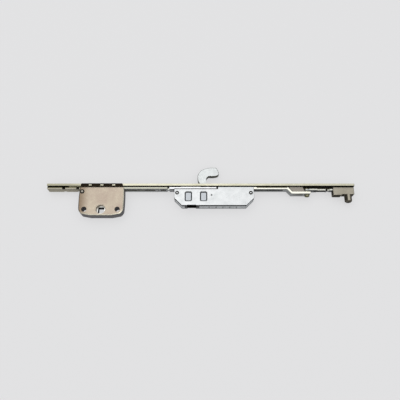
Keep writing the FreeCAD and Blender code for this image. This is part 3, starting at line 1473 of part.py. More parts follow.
def write_parts():
    os.makedirs("parts", exist_ok=True)
    for item in parts:
        item.Shape.exportStep("parts/" + item.Label + ".step")
        print(item.Label, len(item.Shape.Solids), "%.1f mm3" % item.Shape.Volume)


make_forend()
make_box_screws()
make_clip()
make_packer()
make_gearbox_housing()
make_gearbox_cover()
make_box_rivets()
make_gearbox_rack()
make_follower()
make_left_rod()
make_button()
make_hook_slide()
make_right_rod()
make_spacer()
make_stud()
make_end_slide()
make_end_block()
make_case_housing()
make_case_cover()
make_pivot_pin()
make_hook()
check_document()
write_parts()
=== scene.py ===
"""Window espagnolette: studio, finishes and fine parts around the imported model."""

import json
import logging
import math
from dataclasses import dataclass, field
from enum import Enum

import bmesh
import bpy
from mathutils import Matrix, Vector


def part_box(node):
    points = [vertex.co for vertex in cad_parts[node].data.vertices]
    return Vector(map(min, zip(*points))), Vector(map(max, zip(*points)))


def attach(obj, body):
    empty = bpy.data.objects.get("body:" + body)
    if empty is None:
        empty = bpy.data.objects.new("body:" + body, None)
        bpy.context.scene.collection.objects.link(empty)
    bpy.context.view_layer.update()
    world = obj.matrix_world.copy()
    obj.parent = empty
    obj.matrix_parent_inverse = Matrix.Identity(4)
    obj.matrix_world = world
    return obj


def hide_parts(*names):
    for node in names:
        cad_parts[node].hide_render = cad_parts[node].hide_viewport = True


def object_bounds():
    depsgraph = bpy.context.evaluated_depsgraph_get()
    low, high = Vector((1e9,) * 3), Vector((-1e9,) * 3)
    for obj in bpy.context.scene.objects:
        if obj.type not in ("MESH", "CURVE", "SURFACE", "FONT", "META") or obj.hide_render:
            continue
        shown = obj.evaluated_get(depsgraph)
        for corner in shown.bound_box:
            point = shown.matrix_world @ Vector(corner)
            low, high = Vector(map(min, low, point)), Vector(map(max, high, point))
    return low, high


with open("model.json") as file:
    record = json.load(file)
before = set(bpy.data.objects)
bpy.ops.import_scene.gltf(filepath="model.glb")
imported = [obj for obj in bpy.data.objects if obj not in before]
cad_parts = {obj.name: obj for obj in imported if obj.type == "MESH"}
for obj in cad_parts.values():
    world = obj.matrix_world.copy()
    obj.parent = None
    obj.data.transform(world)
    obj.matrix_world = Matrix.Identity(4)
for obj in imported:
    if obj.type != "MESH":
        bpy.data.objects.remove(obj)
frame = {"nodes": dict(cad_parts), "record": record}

CAD_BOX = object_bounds()
MM = 0.001
WELD_DISTANCE = 0.002 * MM
FLAT_ANGLE = math.radians(0.4)
SHARP_ANGLE = math.radians(28.0)

Span = tuple[float, float]
Triple = tuple[float, float, float]
Colour = Triple
Object = bpy.types.Object
Mesh = bpy.types.Mesh
Material = bpy.types.Material
Node = bpy.types.Node
Socket = bpy.types.NodeSocket
log = logging.getLogger("espagnolette")


class Grain(Enum):
    """Ways in which the fine relief of a finish runs."""

    DRAWN = "lines along the forend"
    ROLLED = "short strokes along the forend"
    CAST = "even pits"
    MOULDED = "faint pebbles"


GRAIN_SCALE: dict[Grain, Triple] = {
    Grain.DRAWN: (60.0, 2600.0, 2600.0),
    Grain.ROLLED: (420.0, 1700.0, 1700.0),
    Grain.CAST: (1500.0, 1500.0, 1500.0),
    Grain.MOULDED: (2300.0, 2300.0, 2300.0),
}


class Sides(Enum):
    """Which faces of a piece take its side material, with painted shade and light in its tone."""

    NONE = "no face"
    ROUND = "all faces that don't look along the spindle"
    BACK = "faces that look away from the hook"


SIDE_LIMIT = 0.8
RIM_LIMIT = 0.95
BACK_LIMIT = -0.5
# The edge coat holds painted highlights and dark reflections, the side coat painted shade and
# light, the rim coat a painted highlight.
FACE_COAT, EDGE_PAINTED_LIGHT_COAT, SIDE_LIGHT_AND_SHADE_COAT, RIM_HIGHLIGHT_COAT = range(4)


class NodePad:
    """Adds nodes to one tree and links them."""

    def __init__(self, tree: bpy.types.NodeTree) -> None:
        """Start from an empty tree.

        Args:
            tree: The shader or geometry tree to fill.
        """
        self.tree = tree
        tree.nodes.clear()

    def add(self, kind: str, **settings: object) -> Node:
        """Add a node.

        Args:
            kind: The node's type name.
            settings: Attributes to set on it.

        Returns:
            The new node.
        """
        node = self.tree.nodes.new(kind)
        for name, value in settings.items():
            setattr(node, name, value)
        return node

    def join(self, source: Socket, target: Socket) -> None:
        """Link an output to an input."""
        self.tree.links.new(source, target)

    def _fed(self, kind: str, operation: str, values: tuple[Socket | Vector | float, ...]) -> Node:
        """Add a node for arithmetic with its inputs in place.

        Args:
            kind: The node's type name.
            operation: What it works out.
            values: Its inputs in order, each another node's output or a plain value.

        Returns:
            The new node.
        """
        node = self.add(kind, operation=operation)
        for value, target in zip(values, node.inputs):
            if isinstance(value, Socket):
                self.join(value, target)
            else:
                target.default_value = value
        return node

    def maths(self, operation: str, *values: Socket | float) -> Socket:
        """Result of arithmetic on numbers."""
        return self._fed("ShaderNodeMath", operation, values).outputs["Value"]

    def vectors(self, operation: str, *values: Socket | Vector) -> Socket:
        """Result of arithmetic on vectors, which is a number for a length or distance."""
        result = "Value" if operation in ("LENGTH", "DISTANCE") else "Vector"
        return self._fed("ShaderNodeVectorMath", operation, values).outputs[result]

    def remap(self, value: Socket, given: Span, wanted: Span = (0.0, 1.0),
              smooth: bool = False) -> Socket:
        """Carry a number from one range over to another, and stop at its ends.

        Args:
            value: The number.
            given: The range that it comes from.
            wanted: The range that it goes to.
            smooth: Whether it eases in and out at the ends.

        Returns:
            The number in its new range.
        """
        node = self.add("ShaderNodeMapRange",
                        interpolation_type="SMOOTHSTEP" if smooth else "LINEAR")
        for name, end in zip(("From Min", "From Max", "To Min", "To Max"), given + wanted):
            node.inputs[name].default_value = end
        self.join(value, node.inputs["Value"])
        return node.outputs["Result"]

    def noise(self, place: Socket, scale: float, detail: float = 2.0,
              breakup: float = 0.5) -> Socket:
        """Soft random pattern.

        Args:
            place: Where each point lies.
            scale: How many patches there are to a metre.
            detail: How many finer layers it has.
            breakup: How strong the finer layers are.

        Returns:
            The pattern, a number between 0 and 1.
        """
        node = self.add("ShaderNodeTexNoise")
        node.inputs["Scale"].default_value = scale
        node.inputs["Detail"].default_value = detail
        node.inputs["Roughness"].default_value = breakup
        self.join(place, node.inputs["Vector"])
        return node.outputs["Fac"]

    def ramp(self, value: Socket, *stops: tuple[float, Colour]) -> Socket:
        """Turn a number into a colour between two.

        Args:
            value: The number.
            stops: The two numbers where the change starts and ends, each with its colour.

        Returns:
            The colour.
        """
        node = self.add("ShaderNodeValToRGB")
        for element, (position, colour) in zip(node.color_ramp.elements, stops):
            element.position = position
            element.color = (*colour, 1.0)
        self.join(value, node.inputs["Fac"])
        return node.outputs["Color"]

    def blend(self, share: Socket, first: Socket, second: Colour) -> Socket:
        """Mix a colour with a plain one.

        Args:
            share: How much of the plain colour there is.
            first: The colour that gives way.
            second: The plain colour.

        Returns:
            The mixed colour.
        """
        node = self.add("ShaderNodeMix", data_type="RGBA")
        ends = {item.identifier: item for item in node.inputs}
        ends["B_Color"].default_value = (*second, 1.0)
        self.join(share, ends["Factor_Float"])
        self.join(first, ends["A_Color"])
        return [item for item in node.outputs if item.identifier == "Result_Color"][0]


class SurfacePad(NodePad):
    """A material's tree, with the place of each point of the surface."""

    def __init__(self, tree: bpy.types.NodeTree) -> None:
        """Start with the node that gives the places."""
        super().__init__(tree)
        self.place = self.add("ShaderNodeTexCoord").outputs["Object"]


@dataclass(frozen=True)
class BoxToneAndShade:
    """Painted shade, painted light or another tone of plating inside a box, given by its reach
    along each axis.
    """

    x: Span
    y: Span
    z: Span
    # The near-black default is the tone of painted shade.
    tone: Colour = (0.006, 0.005, 0.003)
    soft: float = 0.25 * MM

    def share(self, pad: SurfacePad) -> Socket:
        """Find how much of the mark (tone, painted light or painted shade) each point has.

        Args:
            pad: The material's tree.

        Returns:
            A share from 0 to 1.
        """
        low, high = (Vector(corner) for corner in zip(self.x, self.y, self.z))
        offset = pad.vectors("SUBTRACT", pad.place, (low + high) / 2)
        beyond = pad.vectors("SUBTRACT", pad.vectors("ABSOLUTE", offset), (high - low) / 2)
        distance = pad.vectors("LENGTH", pad.vectors("MAXIMUM", beyond, Vector()))
        return pad.remap(distance, (self.soft, 0.0), smooth=True)


@dataclass(frozen=True)
class RingToneAndShade:
    """Painted shade, rubbed plating or another tone in a ring or disc about an axis along the
    spindle.
    """

    centre: Vector
    inner: float
    outer: float
    # The near-black default is the tone of painted shade.
    tone: Colour = (0.006, 0.005, 0.003)
    soft: float = 0.2 * MM

    def share(self, pad: SurfacePad) -> Socket:
        """Find how much of the mark (tone or painted shade) each point has.

        Args:
            pad: The material's tree.

        Returns:
            A share from 0 to 1.
        """
        flat = pad.vectors("MULTIPLY", pad.place, Vector((1.0, 1.0, 0.0)))
        radius = pad.vectors("DISTANCE", flat, Vector((self.centre.x, self.centre.y, 0.0)))
        off = pad.maths("SUBTRACT", radius, (self.inner + self.outer) / 2)
        beyond = pad.maths("SUBTRACT", pad.maths("ABSOLUTE", off), (self.outer - self.inner) / 2)
        return pad.remap(beyond, (self.soft, 0.0), smooth=True)


@dataclass(frozen=True)
class Finish:
    """A surface of two tones in soft blotches, with fine relief, tones, grime and painted light
    and shade.
    """

    slot: str
    tone: Colour
    blotch: Colour
    # Tone of the side faces: painted shade, lighter for the case walls as painted light.
    side: Colour
    metallic: float
    roughness: float
    grain: Grain
    specular: float = 0.5
    uneven: float = 0.12
    least_roughness: float = 0.05
    blotch_size: float = 9.0 * MM
    blotch_from: float = 0.36
    blotch_span: float = 0.3
    blotch_detail: float = 4.0
    blotch_breakup: float = 0.62
    speckle: float = 0.10
    speckle_size: float = 0.9 * MM
    speckle_span: Span = (0.3, 0.7)
    relief: float = 0.006 * MM
    relief_detail: float = 3.0
    relief_strength: float = 0.5
    # Scales the edge tone: above 1 a painted highlight, below 1 a painted dark reflection.
    edge_light_factor: float = 1.12
    edge_roughness: float = 0.8
    side_blotch: float = 0.8
    side_metallic: float = 0.35
    side_roughness: float = 0.70
    side_specular: float = 0.0
    tones_and_shade: tuple[BoxToneAndShade | RingToneAndShade, ...] = ()
    # Ambient occlusion mixes this tone in where the surface is shut in: grime and painted shade.
    grime_and_shade: Colour = (0.008, 0.007, 0.004)
    grime_and_shade_reach: float = 1.4 * MM
    grime_and_shade_samples: int = 12
    grime_and_shade_patch: float = 3.0 * MM
    grime_and_shade_sway: float = 0.12
    grime_and_shade_open: float = 0.80
    grime_and_shade_shut: float = 0.30
    # Tone that the colour shifts to towards the left end.
    left_tone: Colour | None = None
    left_tone_side: float = 0.55
    left_tone_from: float = -34.0 * MM
    left_tone_to: float = -20.0 * MM

    def build(self) -> Material:
        """Make the material of the faces."""
        return self._material(self.slot, self.tone, self.blotch, self.roughness,
                              self.metallic, self.specular, self.left_tone)

    def build_edge_painted_light(self) -> Material:
        """Make the material of the softened edges, with its own gloss and a tone scaled up into a
        painted highlight, or on some finishes down into a painted dark reflection.

        Returns:
            The material.
        """
        tone, blotch = (tuple(min(1.0, part * self.edge_light_factor) for part in colour)
                        for colour in (self.tone, self.blotch))
        return self._material(self.slot + "_edge", tone, blotch,
                              self.roughness * self.edge_roughness, self.metallic,
                              self.specular, self.left_tone)

    def build_side_light_and_shade(self) -> Material:
        """Make the material of the cut or cast side faces: rougher, and with painted shade in its
        tone (painted light for the case walls).

        Returns:
            The material.
        """
        blotch = tuple(part * self.side_blotch for part in self.side)
        left_tone = None if self.left_tone is None else tuple(part * self.left_tone_side for part in self.left_tone)
        return self._material(self.slot + "_side", self.side, blotch, self.side_roughness,
                              self.side_metallic, self.side_specular, left_tone)

    def _material(self, name: str, tone: Colour, blotch: Colour, roughness: float,
                  metallic: float, specular: float, left_tone: Colour | None) -> Material:
        """Build the node tree.

        Args:
            name: The material's name.
            tone: Main colour.
            blotch: Colour of the blotches.
            roughness: Middle of the roughness.
            metallic: Share of bare metal.
            specular: Level of the gloss over what isn't bare metal.
            left_tone: Colour at the left end, if this finish has one.

        Returns:
            The material.
        """
        material = bpy.data.materials.new(name)
        material.use_nodes = True
        pad = SurfacePad(material.node_tree)
        output = pad.add("ShaderNodeOutputMaterial")
        shader = pad.add("ShaderNodeBsdfPrincipled")
        shader.inputs["Metallic"].default_value = metallic
        shader.inputs["Specular IOR Level"].default_value = specular
        pad.join(shader.outputs["BSDF"], output.inputs["Surface"])
        coat = self._tones(pad, tone, blotch)
        if left_tone is not None:
            coat = self._shift_to_left_tone(pad, coat, left_tone)
        # Each mark mixes in its tone: painted shade, painted light or a tone of the plating.
        for mark in self.tones_and_shade:
            coat = pad.blend(mark.share(pad), coat, mark.tone)
        pad.join(self._grime_and_shade(pad, coat), shader.inputs["Base Color"])
        self._relief(pad, shader, roughness)
        return material

    def _tones(self, pad: SurfacePad, tone: Colour, blotch: Colour) -> Socket:
        """Lay soft blotches between two tones, with a fine speckle over them.

        Args:
            pad: The material's tree.
            tone: Main colour.
            blotch: Colour of the blotches.

        Returns:
            The colour.
        """
        clouds = pad.noise(pad.place, 1.0 / self.blotch_size, self.blotch_detail,
                           self.blotch_breakup)
        tones = pad.ramp(clouds, (self.blotch_from, tone),
                         (self.blotch_from + self.blotch_span, blotch))
        dots = pad.noise(pad.place, 1.0 / self.speckle_size)
        mix = pad.add("ShaderNodeVectorMath", operation="SCALE")
        pad.join(tones, mix.inputs["Vector"])
        pad.join(pad.remap(dots, self.speckle_span, (1.0 - self.speckle, 1.0)),
                 mix.inputs["Scale"])
        return mix.outputs["Vector"]

    def _shift_to_left_tone(self, pad: SurfacePad, unshifted: Socket, left_tone: Colour) -> Socket:
        """Shift the tone towards another one at the left end.

        Args:
            pad: The material's tree.
            unshifted: Colour before the shift.
            left_tone: Colour at the left end.

        Returns:
            The colour.
        """
        split = pad.add("ShaderNodeSeparateXYZ")
        pad.join(pad.place, split.inputs["Vector"])
        share = pad.remap(split.outputs["X"], (self.left_tone_to, self.left_tone_from), smooth=True)
        return pad.blend(share, unshifted, left_tone)

    def _grime_and_shade(self, pad: SurfacePad, clean: Socket) -> Socket:
        """Add old grease and dirt with painted shade, both thickest where the surface is shut in.

        Args:
            pad: The material's tree.
            clean: Colour without grime and painted shade.

        Returns:
            The colour.
        """
        # Darker where ambient occlusion finds the surface shut in: painted shade in gaps and
        # hollows, with grime.
        shelter = pad.add("ShaderNodeAmbientOcclusion", samples=self.grime_and_shade_samples)
        shelter.inputs["Distance"].default_value = self.grime_and_shade_reach
        sway = pad.remap(pad.noise(pad.place, 1.0 / self.grime_and_shade_patch), (0.0, 1.0),
                         (-self.grime_and_shade_sway, self.grime_and_shade_sway))
        openness = pad.maths("ADD", shelter.outputs["AO"], sway)
        amount = pad.remap(openness, (self.grime_and_shade_open, self.grime_and_shade_shut), smooth=True)
        return pad.blend(amount, clean, self.grime_and_shade)

    def _relief(self, pad: SurfacePad, shader: Node, roughness: float) -> None:
        """Give the shader a fine relief along the grain, which also changes the gloss.

        Args:
            pad: The material's tree.
            shader: The shader.
            roughness: Middle of the roughness.
        """
        mapping = pad.add("ShaderNodeMapping")
        mapping.inputs["Scale"].default_value = GRAIN_SCALE[self.grain]
        pad.join(pad.place, mapping.inputs["Vector"])
        lines = pad.noise(mapping.outputs["Vector"], 1.0, self.relief_detail)
        gloss = pad.remap(lines, (0.0, 1.0), (max(self.least_roughness, roughness - self.uneven),
                                              min(1.0, roughness + self.uneven)))
        bump = pad.add("ShaderNodeBump")
        bump.inputs["Strength"].default_value = self.relief_strength
        bump.inputs["Distance"].default_value = self.relief
        pad.join(gloss, shader.inputs["Roughness"])
        pad.join(lines, bump.inputs["Height"])
        pad.join(bump.outputs["Normal"], shader.inputs["Normal"])


ROD_LOW, ROD_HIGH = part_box("drive_rod_left")
RIGHT_ROD_LOW, RIGHT_ROD_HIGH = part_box("drive_rod_right")
END_SLIDE_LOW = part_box("end_slide")[0]
FOREND_LOW, FOREND_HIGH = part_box("forend")
PACKER_LOW, PACKER_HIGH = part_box("forend_packer")
SLIDE_LOW, SLIDE_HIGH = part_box("hook_slide")
CASE_LOW, CASE_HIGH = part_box("hook_case_housing")
GEARBOX_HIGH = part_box("gearbox_housing")[1]
PIN_LOW, PIN_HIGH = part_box("hook_pivot_pin")
RIVET_LOW, RIVET_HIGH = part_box("gearbox_rivet")
CASE_RIVET_LOW, CASE_RIVET_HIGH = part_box("hook_case_rivets")

OLIVE: Colour = (0.14, 0.13, 0.08)
PIN_HOLE_SHADE: Colour = (0.03, 0.03, 0.03)
# Lighter grey for the rods' undersides: painted light.
UNDERSIDE_LIGHT: Colour = (0.34, 0.35, 0.35)
RIM_TONE: Colour = (0.42, 0.37, 0.30)
# Dark tone for the rods' top faces by the forend gap: painted shade.
GAP_SHADE_TONE: Colour = (0.058, 0.053, 0.028)
BRIGHT_ROD: Colour = (0.70, 0.69, 0.61)
RUBBED: Colour = (0.30, 0.28, 0.24)
DULL_ROD: Colour = (0.31, 0.31, 0.26)
# Darker grey for the pressed pockets: painted shade.
POCKET_SHADE: Colour = (0.33, 0.35, 0.37)
SHADE: Colour = (0.020, 0.021, 0.023)

FOREND_SHADE_BAND = 0.05 * MM
GAP_SHADE_EDGE = (ROD_HIGH.y - 1.2 * MM, ROD_HIGH.y)
DULL_FROM = -25.0 * MM
UPPER_BAND = 5.0 * MM
UNDERSIDE_TO = 4.0 * MM
UNDERSIDE_SHADE_LINE = 4.7 * MM
ROD_GAP_SHADE_BAND = 1.0 * MM
ROD_NOTCHES = (-50.4 * MM, -31.9 * MM)
NOTCH_HALF = 1.9 * MM
NOTCH_DEPTH = 1.9 * MM
RIGHT_ROD_GAP_SHADE = (RIGHT_ROD_LOW.x + 30.0 * MM, RIGHT_ROD_LOW.x + 70.0 * MM)
END_NOTCH_SHADE = ((293.8 * MM, 296.0 * MM), (20.0 * MM, 35.0 * MM), (0.0, 7.0 * MM))
END_SLOT_SHADE_X = (END_SLIDE_LOW.x + 13.0 * MM, END_SLIDE_LOW.x + 28.0 * MM)
END_SLOT_SHADE_Z = (-2.0 * MM, 2.0 * MM)
END_SLOT_SHADE_BAND = 0.5 * MM
SLIDE_NOTCH = 1.9 * MM
SLIDE_SHADE_BAND = 0.6 * MM
CASE_STEP = 151.8 * MM
CASE_SKIN = 1.0 * MM
CUTOUT = (111.5 * MM, 123.5 * MM)
SHADE_FROM = 2.7 * MM
SHADE_SOFT = 0.7 * MM
POCKETS = (113.2 * MM, 133.1 * MM)
POCKET_Y = (12.45 * MM, 22.95 * MM)
POCKET_HALF = 3.3 * MM
POCKET_DEPTH = 1.4 * MM
PIP = 0.9 * MM
CASE_HEAD = 1.5 * MM
RING_INNER = 1.15 * MM
RING_OUTER = 2.5 * MM
BOX_RIVET = (RIVET_LOW + RIVET_HIGH) / 2
BOX_HEAD_CROWN = 1.2 * MM
BOX_HEAD = 2.9 * MM
FOLLOWER_RIM = 5.8 * MM
FOLLOWER_OUTER = 7.2 * MM

FOREND_SHADE = (
    # A near-black band along the forend's edge at the gap beside the rods: painted shade.
    BoxToneAndShade((FOREND_LOW.x, FOREND_HIGH.x), (FOREND_LOW.y, FOREND_LOW.y + FOREND_SHADE_BAND),
             (0.0, FOREND_HIGH.z)),
)
LEFT_ROD_TONES_LIGHT_AND_SHADE = (
    BoxToneAndShade((DULL_FROM, ROD_HIGH.x), (ROD_LOW.y, ROD_HIGH.y), (UPPER_BAND, ROD_HIGH.z),
             tone=DULL_ROD),
    # A lighter grey on the rod's underside: painted light.
    BoxToneAndShade((GEARBOX_HIGH.x, ROD_HIGH.x), (ROD_LOW.y, ROD_LOW.y), (ROD_LOW.z, UNDERSIDE_TO),
             tone=UNDERSIDE_LIGHT),
    # A near-black line along the top of the rod's underside: painted shade.
    BoxToneAndShade((GEARBOX_HIGH.x, ROD_HIGH.x), (ROD_LOW.y, ROD_LOW.y),
             (UNDERSIDE_SHADE_LINE, ROD_HIGH.z)),
)
RIGHT_ROD_TONES_AND_LIGHT = (
    # A lighter grey on the right rod's underside: painted light.
    BoxToneAndShade((RIGHT_ROD_LOW.x, RIGHT_ROD_HIGH.x),
             (RIGHT_ROD_LOW.y, RIGHT_ROD_HIGH.y - ROD_GAP_SHADE_BAND), (RIGHT_ROD_LOW.z, UPPER_BAND),
             tone=UNDERSIDE_LIGHT),
    BoxToneAndShade((RIGHT_ROD_LOW.x, RIGHT_ROD_HIGH.x), (RIGHT_ROD_LOW.y, RIGHT_ROD_HIGH.y),
             (UPPER_BAND, RIGHT_ROD_HIGH.z), tone=BRIGHT_ROD),
)
ROD_TONES_AND_SHADE = (
    # The rod's top face by the forend gap: painted shade, olive along the packer.
    BoxToneAndShade((ROD_LOW.x, PACKER_LOW.x), GAP_SHADE_EDGE, (0.0, ROD_HIGH.z), tone=GAP_SHADE_TONE),
    BoxToneAndShade((PACKER_LOW.x, PACKER_HIGH.x), GAP_SHADE_EDGE, (0.0, ROD_HIGH.z), tone=OLIVE),
    # Near-black patches at the rod's notches: painted shade.
    *(BoxToneAndShade((notch - NOTCH_HALF, notch + NOTCH_HALF), (ROD_LOW.y, ROD_HIGH.y),
               (ROD_HIGH.z - NOTCH_DEPTH, ROD_HIGH.z)) for notch in ROD_NOTCHES),
    # The right rod's top face by the forend gap: painted shade.
    BoxToneAndShade(RIGHT_ROD_GAP_SHADE, (RIGHT_ROD_HIGH.y - ROD_GAP_SHADE_BAND, RIGHT_ROD_HIGH.y),
             (0.0, RIGHT_ROD_HIGH.z), tone=GAP_SHADE_TONE),
    # A near-black patch at the end notch: painted shade.
    BoxToneAndShade(*END_NOTCH_SHADE),
    # A near-black band down the middle of the end slide's underside: painted shade of its slot.
    BoxToneAndShade(END_SLOT_SHADE_X, (END_SLIDE_LOW.y, END_SLIDE_LOW.y + END_SLOT_SHADE_BAND), END_SLOT_SHADE_Z),
)
SLIDE_SHADE = (
    # A near-black patch at the notch by the case's step: painted shade.
    BoxToneAndShade((CASE_STEP - SLIDE_NOTCH, CASE_STEP), (SLIDE_LOW.y, SLIDE_HIGH.y),
             (0.0, SLIDE_HIGH.z)),
    # The slide's lower edge beside the case: painted shade.
    BoxToneAndShade((CASE_LOW.x, CASE_STEP), (SLIDE_LOW.y, SLIDE_LOW.y + SLIDE_SHADE_BAND),
             (0.0, SLIDE_HIGH.z), tone=SHADE),
)
CASE_TONES_AND_SHADE = (
    # A near-black box inside the cut-out: painted shade of the case's inside.
    BoxToneAndShade(CUTOUT, (CASE_LOW.y + CASE_SKIN, CASE_HIGH.y),
             (CASE_LOW.z + CASE_SKIN, CASE_HIGH.z - CASE_SKIN)),
    BoxToneAndShade((CASE_LOW.x, CASE_HIGH.x), (CASE_LOW.y, CASE_HIGH.y), (SHADE_FROM, CASE_HIGH.z),
             tone=SHADE, soft=SHADE_SOFT),
    # A darker grey on the pressed pockets: painted shade.
    *(BoxToneAndShade((pocket - POCKET_HALF, pocket + POCKET_HALF), POCKET_Y,
               (CASE_HIGH.z - POCKET_DEPTH, CASE_HIGH.z + POCKET_DEPTH), tone=POCKET_SHADE)
      for pocket in POCKETS),
    # A near-black dot over the pin: painted shade of its hole.
    RingToneAndShade((PIN_LOW + PIN_HIGH) / 2, 0.0, PIP, tone=PIN_HOLE_SHADE),
    # Near-black rings round the case's rivet heads: painted shade.
    *(RingToneAndShade(Vector((head, CASE_RIVET_LOW.y + CASE_HEAD, 0.0)), RING_INNER, RING_OUTER)
      for head in (CASE_RIVET_LOW.x + CASE_HEAD, CASE_RIVET_HIGH.x - CASE_HEAD)),
)
RIVET_WEAR_AND_SHADE = (
    # A near-black ring round the rivet's dome: painted shade; its crown is rubbed plating.
    RingToneAndShade(BOX_RIVET, BOX_HEAD_CROWN, BOX_HEAD),
    RingToneAndShade(BOX_RIVET, 0.0, BOX_HEAD_CROWN, tone=RUBBED),
)
FOLLOWER_STAINS = (RingToneAndShade(Vector(), FOLLOWER_RIM, FOLLOWER_OUTER, tone=RIM_TONE),)

# The third colour of each finish is the tone of its side faces: painted shade, and for the case
# walls painted light.
FINISHES: dict[str, Finish] = {finish.slot: finish for finish in (
    Finish("forend_zinc", (0.49, 0.475, 0.37), (0.42, 0.405, 0.305), (0.10, 0.09, 0.055),
           0.85, 0.30, Grain.DRAWN, left_tone=(0.24, 0.23, 0.165), left_tone_from=-50.0 * MM,
           left_tone_to=10.0 * MM, grime_and_shade_reach=0.8 * MM,
           tones_and_shade=FOREND_SHADE, edge_light_factor=1.0),
    Finish("black_plastic", (0.012, 0.008, 0.004), (0.018, 0.012, 0.006), (0.010, 0.007, 0.003),
           0.0, 0.60, Grain.MOULDED, relief=0.01 * MM, specular=0.06, side_metallic=0.0),
    Finish("olive_zinc", (0.25, 0.24, 0.15), (0.20, 0.19, 0.12), (0.14, 0.13, 0.08),
           0.7, 0.40, Grain.ROLLED),
    Finish("gearbox_casting", (0.25, 0.24, 0.22), (0.20, 0.19, 0.175), (0.20, 0.195, 0.20),
           0.6, 0.42, Grain.CAST),
    Finish("gearbox_plate", (0.44, 0.38, 0.295), (0.37, 0.30, 0.24), (0.10, 0.085, 0.075),
           0.55, 0.42, Grain.ROLLED, blotch_size=14.0 * MM, left_tone=(0.18, 0.128, 0.082),
           left_tone_from=-30.0 * MM, left_tone_to=-14.0 * MM, tones_and_shade=RIVET_WEAR_AND_SHADE),
    # The cover rim's bright tone is a painted highlight.
    Finish("plate_rim_highlight", (0.80, 0.77, 0.62), (0.62, 0.58, 0.46), (0.10, 0.085, 0.075),
           0.8, 0.34, Grain.ROLLED, left_tone=(0.22, 0.18, 0.13), left_tone_from=-30.0 * MM,
           left_tone_to=-14.0 * MM),
    Finish("screw_zinc", (0.55, 0.55, 0.53), (0.45, 0.45, 0.43), (0.25, 0.25, 0.24),
           0.95, 0.28, Grain.CAST),
    Finish("rod_zinc", (0.58, 0.58, 0.52), (0.50, 0.50, 0.44), (0.21, 0.215, 0.215),
           0.9, 0.30, Grain.DRAWN, left_tone=(0.24, 0.225, 0.18), left_tone_side=1.6,
           tones_and_shade=LEFT_ROD_TONES_LIGHT_AND_SHADE + RIGHT_ROD_TONES_AND_LIGHT + ROD_TONES_AND_SHADE, edge_light_factor=0.30),
    # The follower's pale tone is painted light, brightening its faces deep in the bore.
    Finish("follower_zinc", (0.88, 0.89, 0.86), (0.74, 0.75, 0.72), (0.05, 0.05, 0.05),
           0.4, 0.40, Grain.CAST, grime_and_shade_open=0.5, grime_and_shade_shut=0.1, tones_and_shade=FOLLOWER_STAINS),
    Finish("bright_zinc", (0.60, 0.60, 0.61), (0.53, 0.535, 0.545), (0.28, 0.28, 0.30),
           0.9, 0.24, Grain.DRAWN, tones_and_shade=SLIDE_SHADE, edge_light_factor=0.15),
    Finish("pin_steel", (0.05, 0.05, 0.05), (0.035, 0.035, 0.035), (0.04, 0.04, 0.04),
           0.5, 0.50, Grain.CAST, specular=0.2),
    Finish("block_zinc", (0.33, 0.305, 0.245), (0.27, 0.245, 0.195), (0.055, 0.048, 0.037),
           0.6, 0.44, Grain.CAST, left_tone=(0.23, 0.21, 0.18), left_tone_from=268.0 * MM,
           left_tone_to=290.0 * MM),
    # The case's side tone, lighter than its face, is painted light on the walls.
    Finish("case_zinc", (0.54, 0.553, 0.558), (0.43, 0.445, 0.45), (0.60, 0.62, 0.63),
           0.7, 0.32, Grain.ROLLED, tones_and_shade=CASE_TONES_AND_SHADE, edge_light_factor=0.12, blotch_span=0.4),
    # Only this finish's near-black side tone is used, on the hook case cover's side faces: painted
    # shade of the line under the cover's edge.
    Finish("cover_edge_shade", (0.63, 0.645, 0.65), (0.52, 0.535, 0.54), (0.07, 0.075, 0.08),
           0.7, 0.32, Grain.ROLLED),
    Finish("hook_zinc", (0.55, 0.57, 0.57), (0.44, 0.46, 0.46), (0.14, 0.14, 0.125),
           0.6, 0.36, Grain.CAST, edge_light_factor=0.15, blotch_size=5.0 * MM, blotch_span=0.4),
)}


class Palette:
    """The materials of every finish, made once."""

    def __init__(self) -> None:
        """Build the face, edge and side material of each finish, the edge one with painted
        highlights and dark reflections and the side one with painted shade and light.
        """
        self.layers = {slot: (finish.build(), finish.build_edge_painted_light(), finish.build_side_light_and_shade())
                       for slot, finish in FINISHES.items()}


SLOT_OF_NODE: dict[str, str] = {
    part["node"]: part["material_slot"] for part in frame["record"]["subparts"]
}
BODY_OF_NODE: dict[str, str] = {
    node: body for body, nodes in frame["record"]["behaviour"]["bodies"].items() for node in nodes
}


def linked(name: str, data: bpy.types.ID) -> Object:
    """Put a new object into the scene.

    Args:
        name: Its name.
        data: Its mesh, camera or light.

    Returns:
        The object.
    """
    thing = bpy.data.objects.new(name, data)
    bpy.context.scene.collection.objects.link(thing)
    return thing


def plain_mesh(thing: Object, name: str) -> Mesh:
    """Keep what an object's modifiers make as a mesh of its own.

    Args:
        thing: The object, in the scene.
        name: Name of the new mesh.

    Returns:
        The new mesh.
    """
    graph = bpy.context.evaluated_depsgraph_get()
    mesh = bpy.data.meshes.new_from_object(thing.evaluated_get(graph))
    mesh.name = name
    return mesh


def finished(piece: Object, body: str, slot: str, *nodes: str) -> None:
    """Let a piece ride on its body and stand for its nodes.

    Args:
        piece: The finished object, in place.
        body: The body that it moves with.
        slot: The material slot of the record; not used.
        nodes: The nodes that it stands for.
    """
    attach(piece, body)
    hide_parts(*nodes)
    log.info("%s: %d faces", piece.name, len(piece.data.polygons))


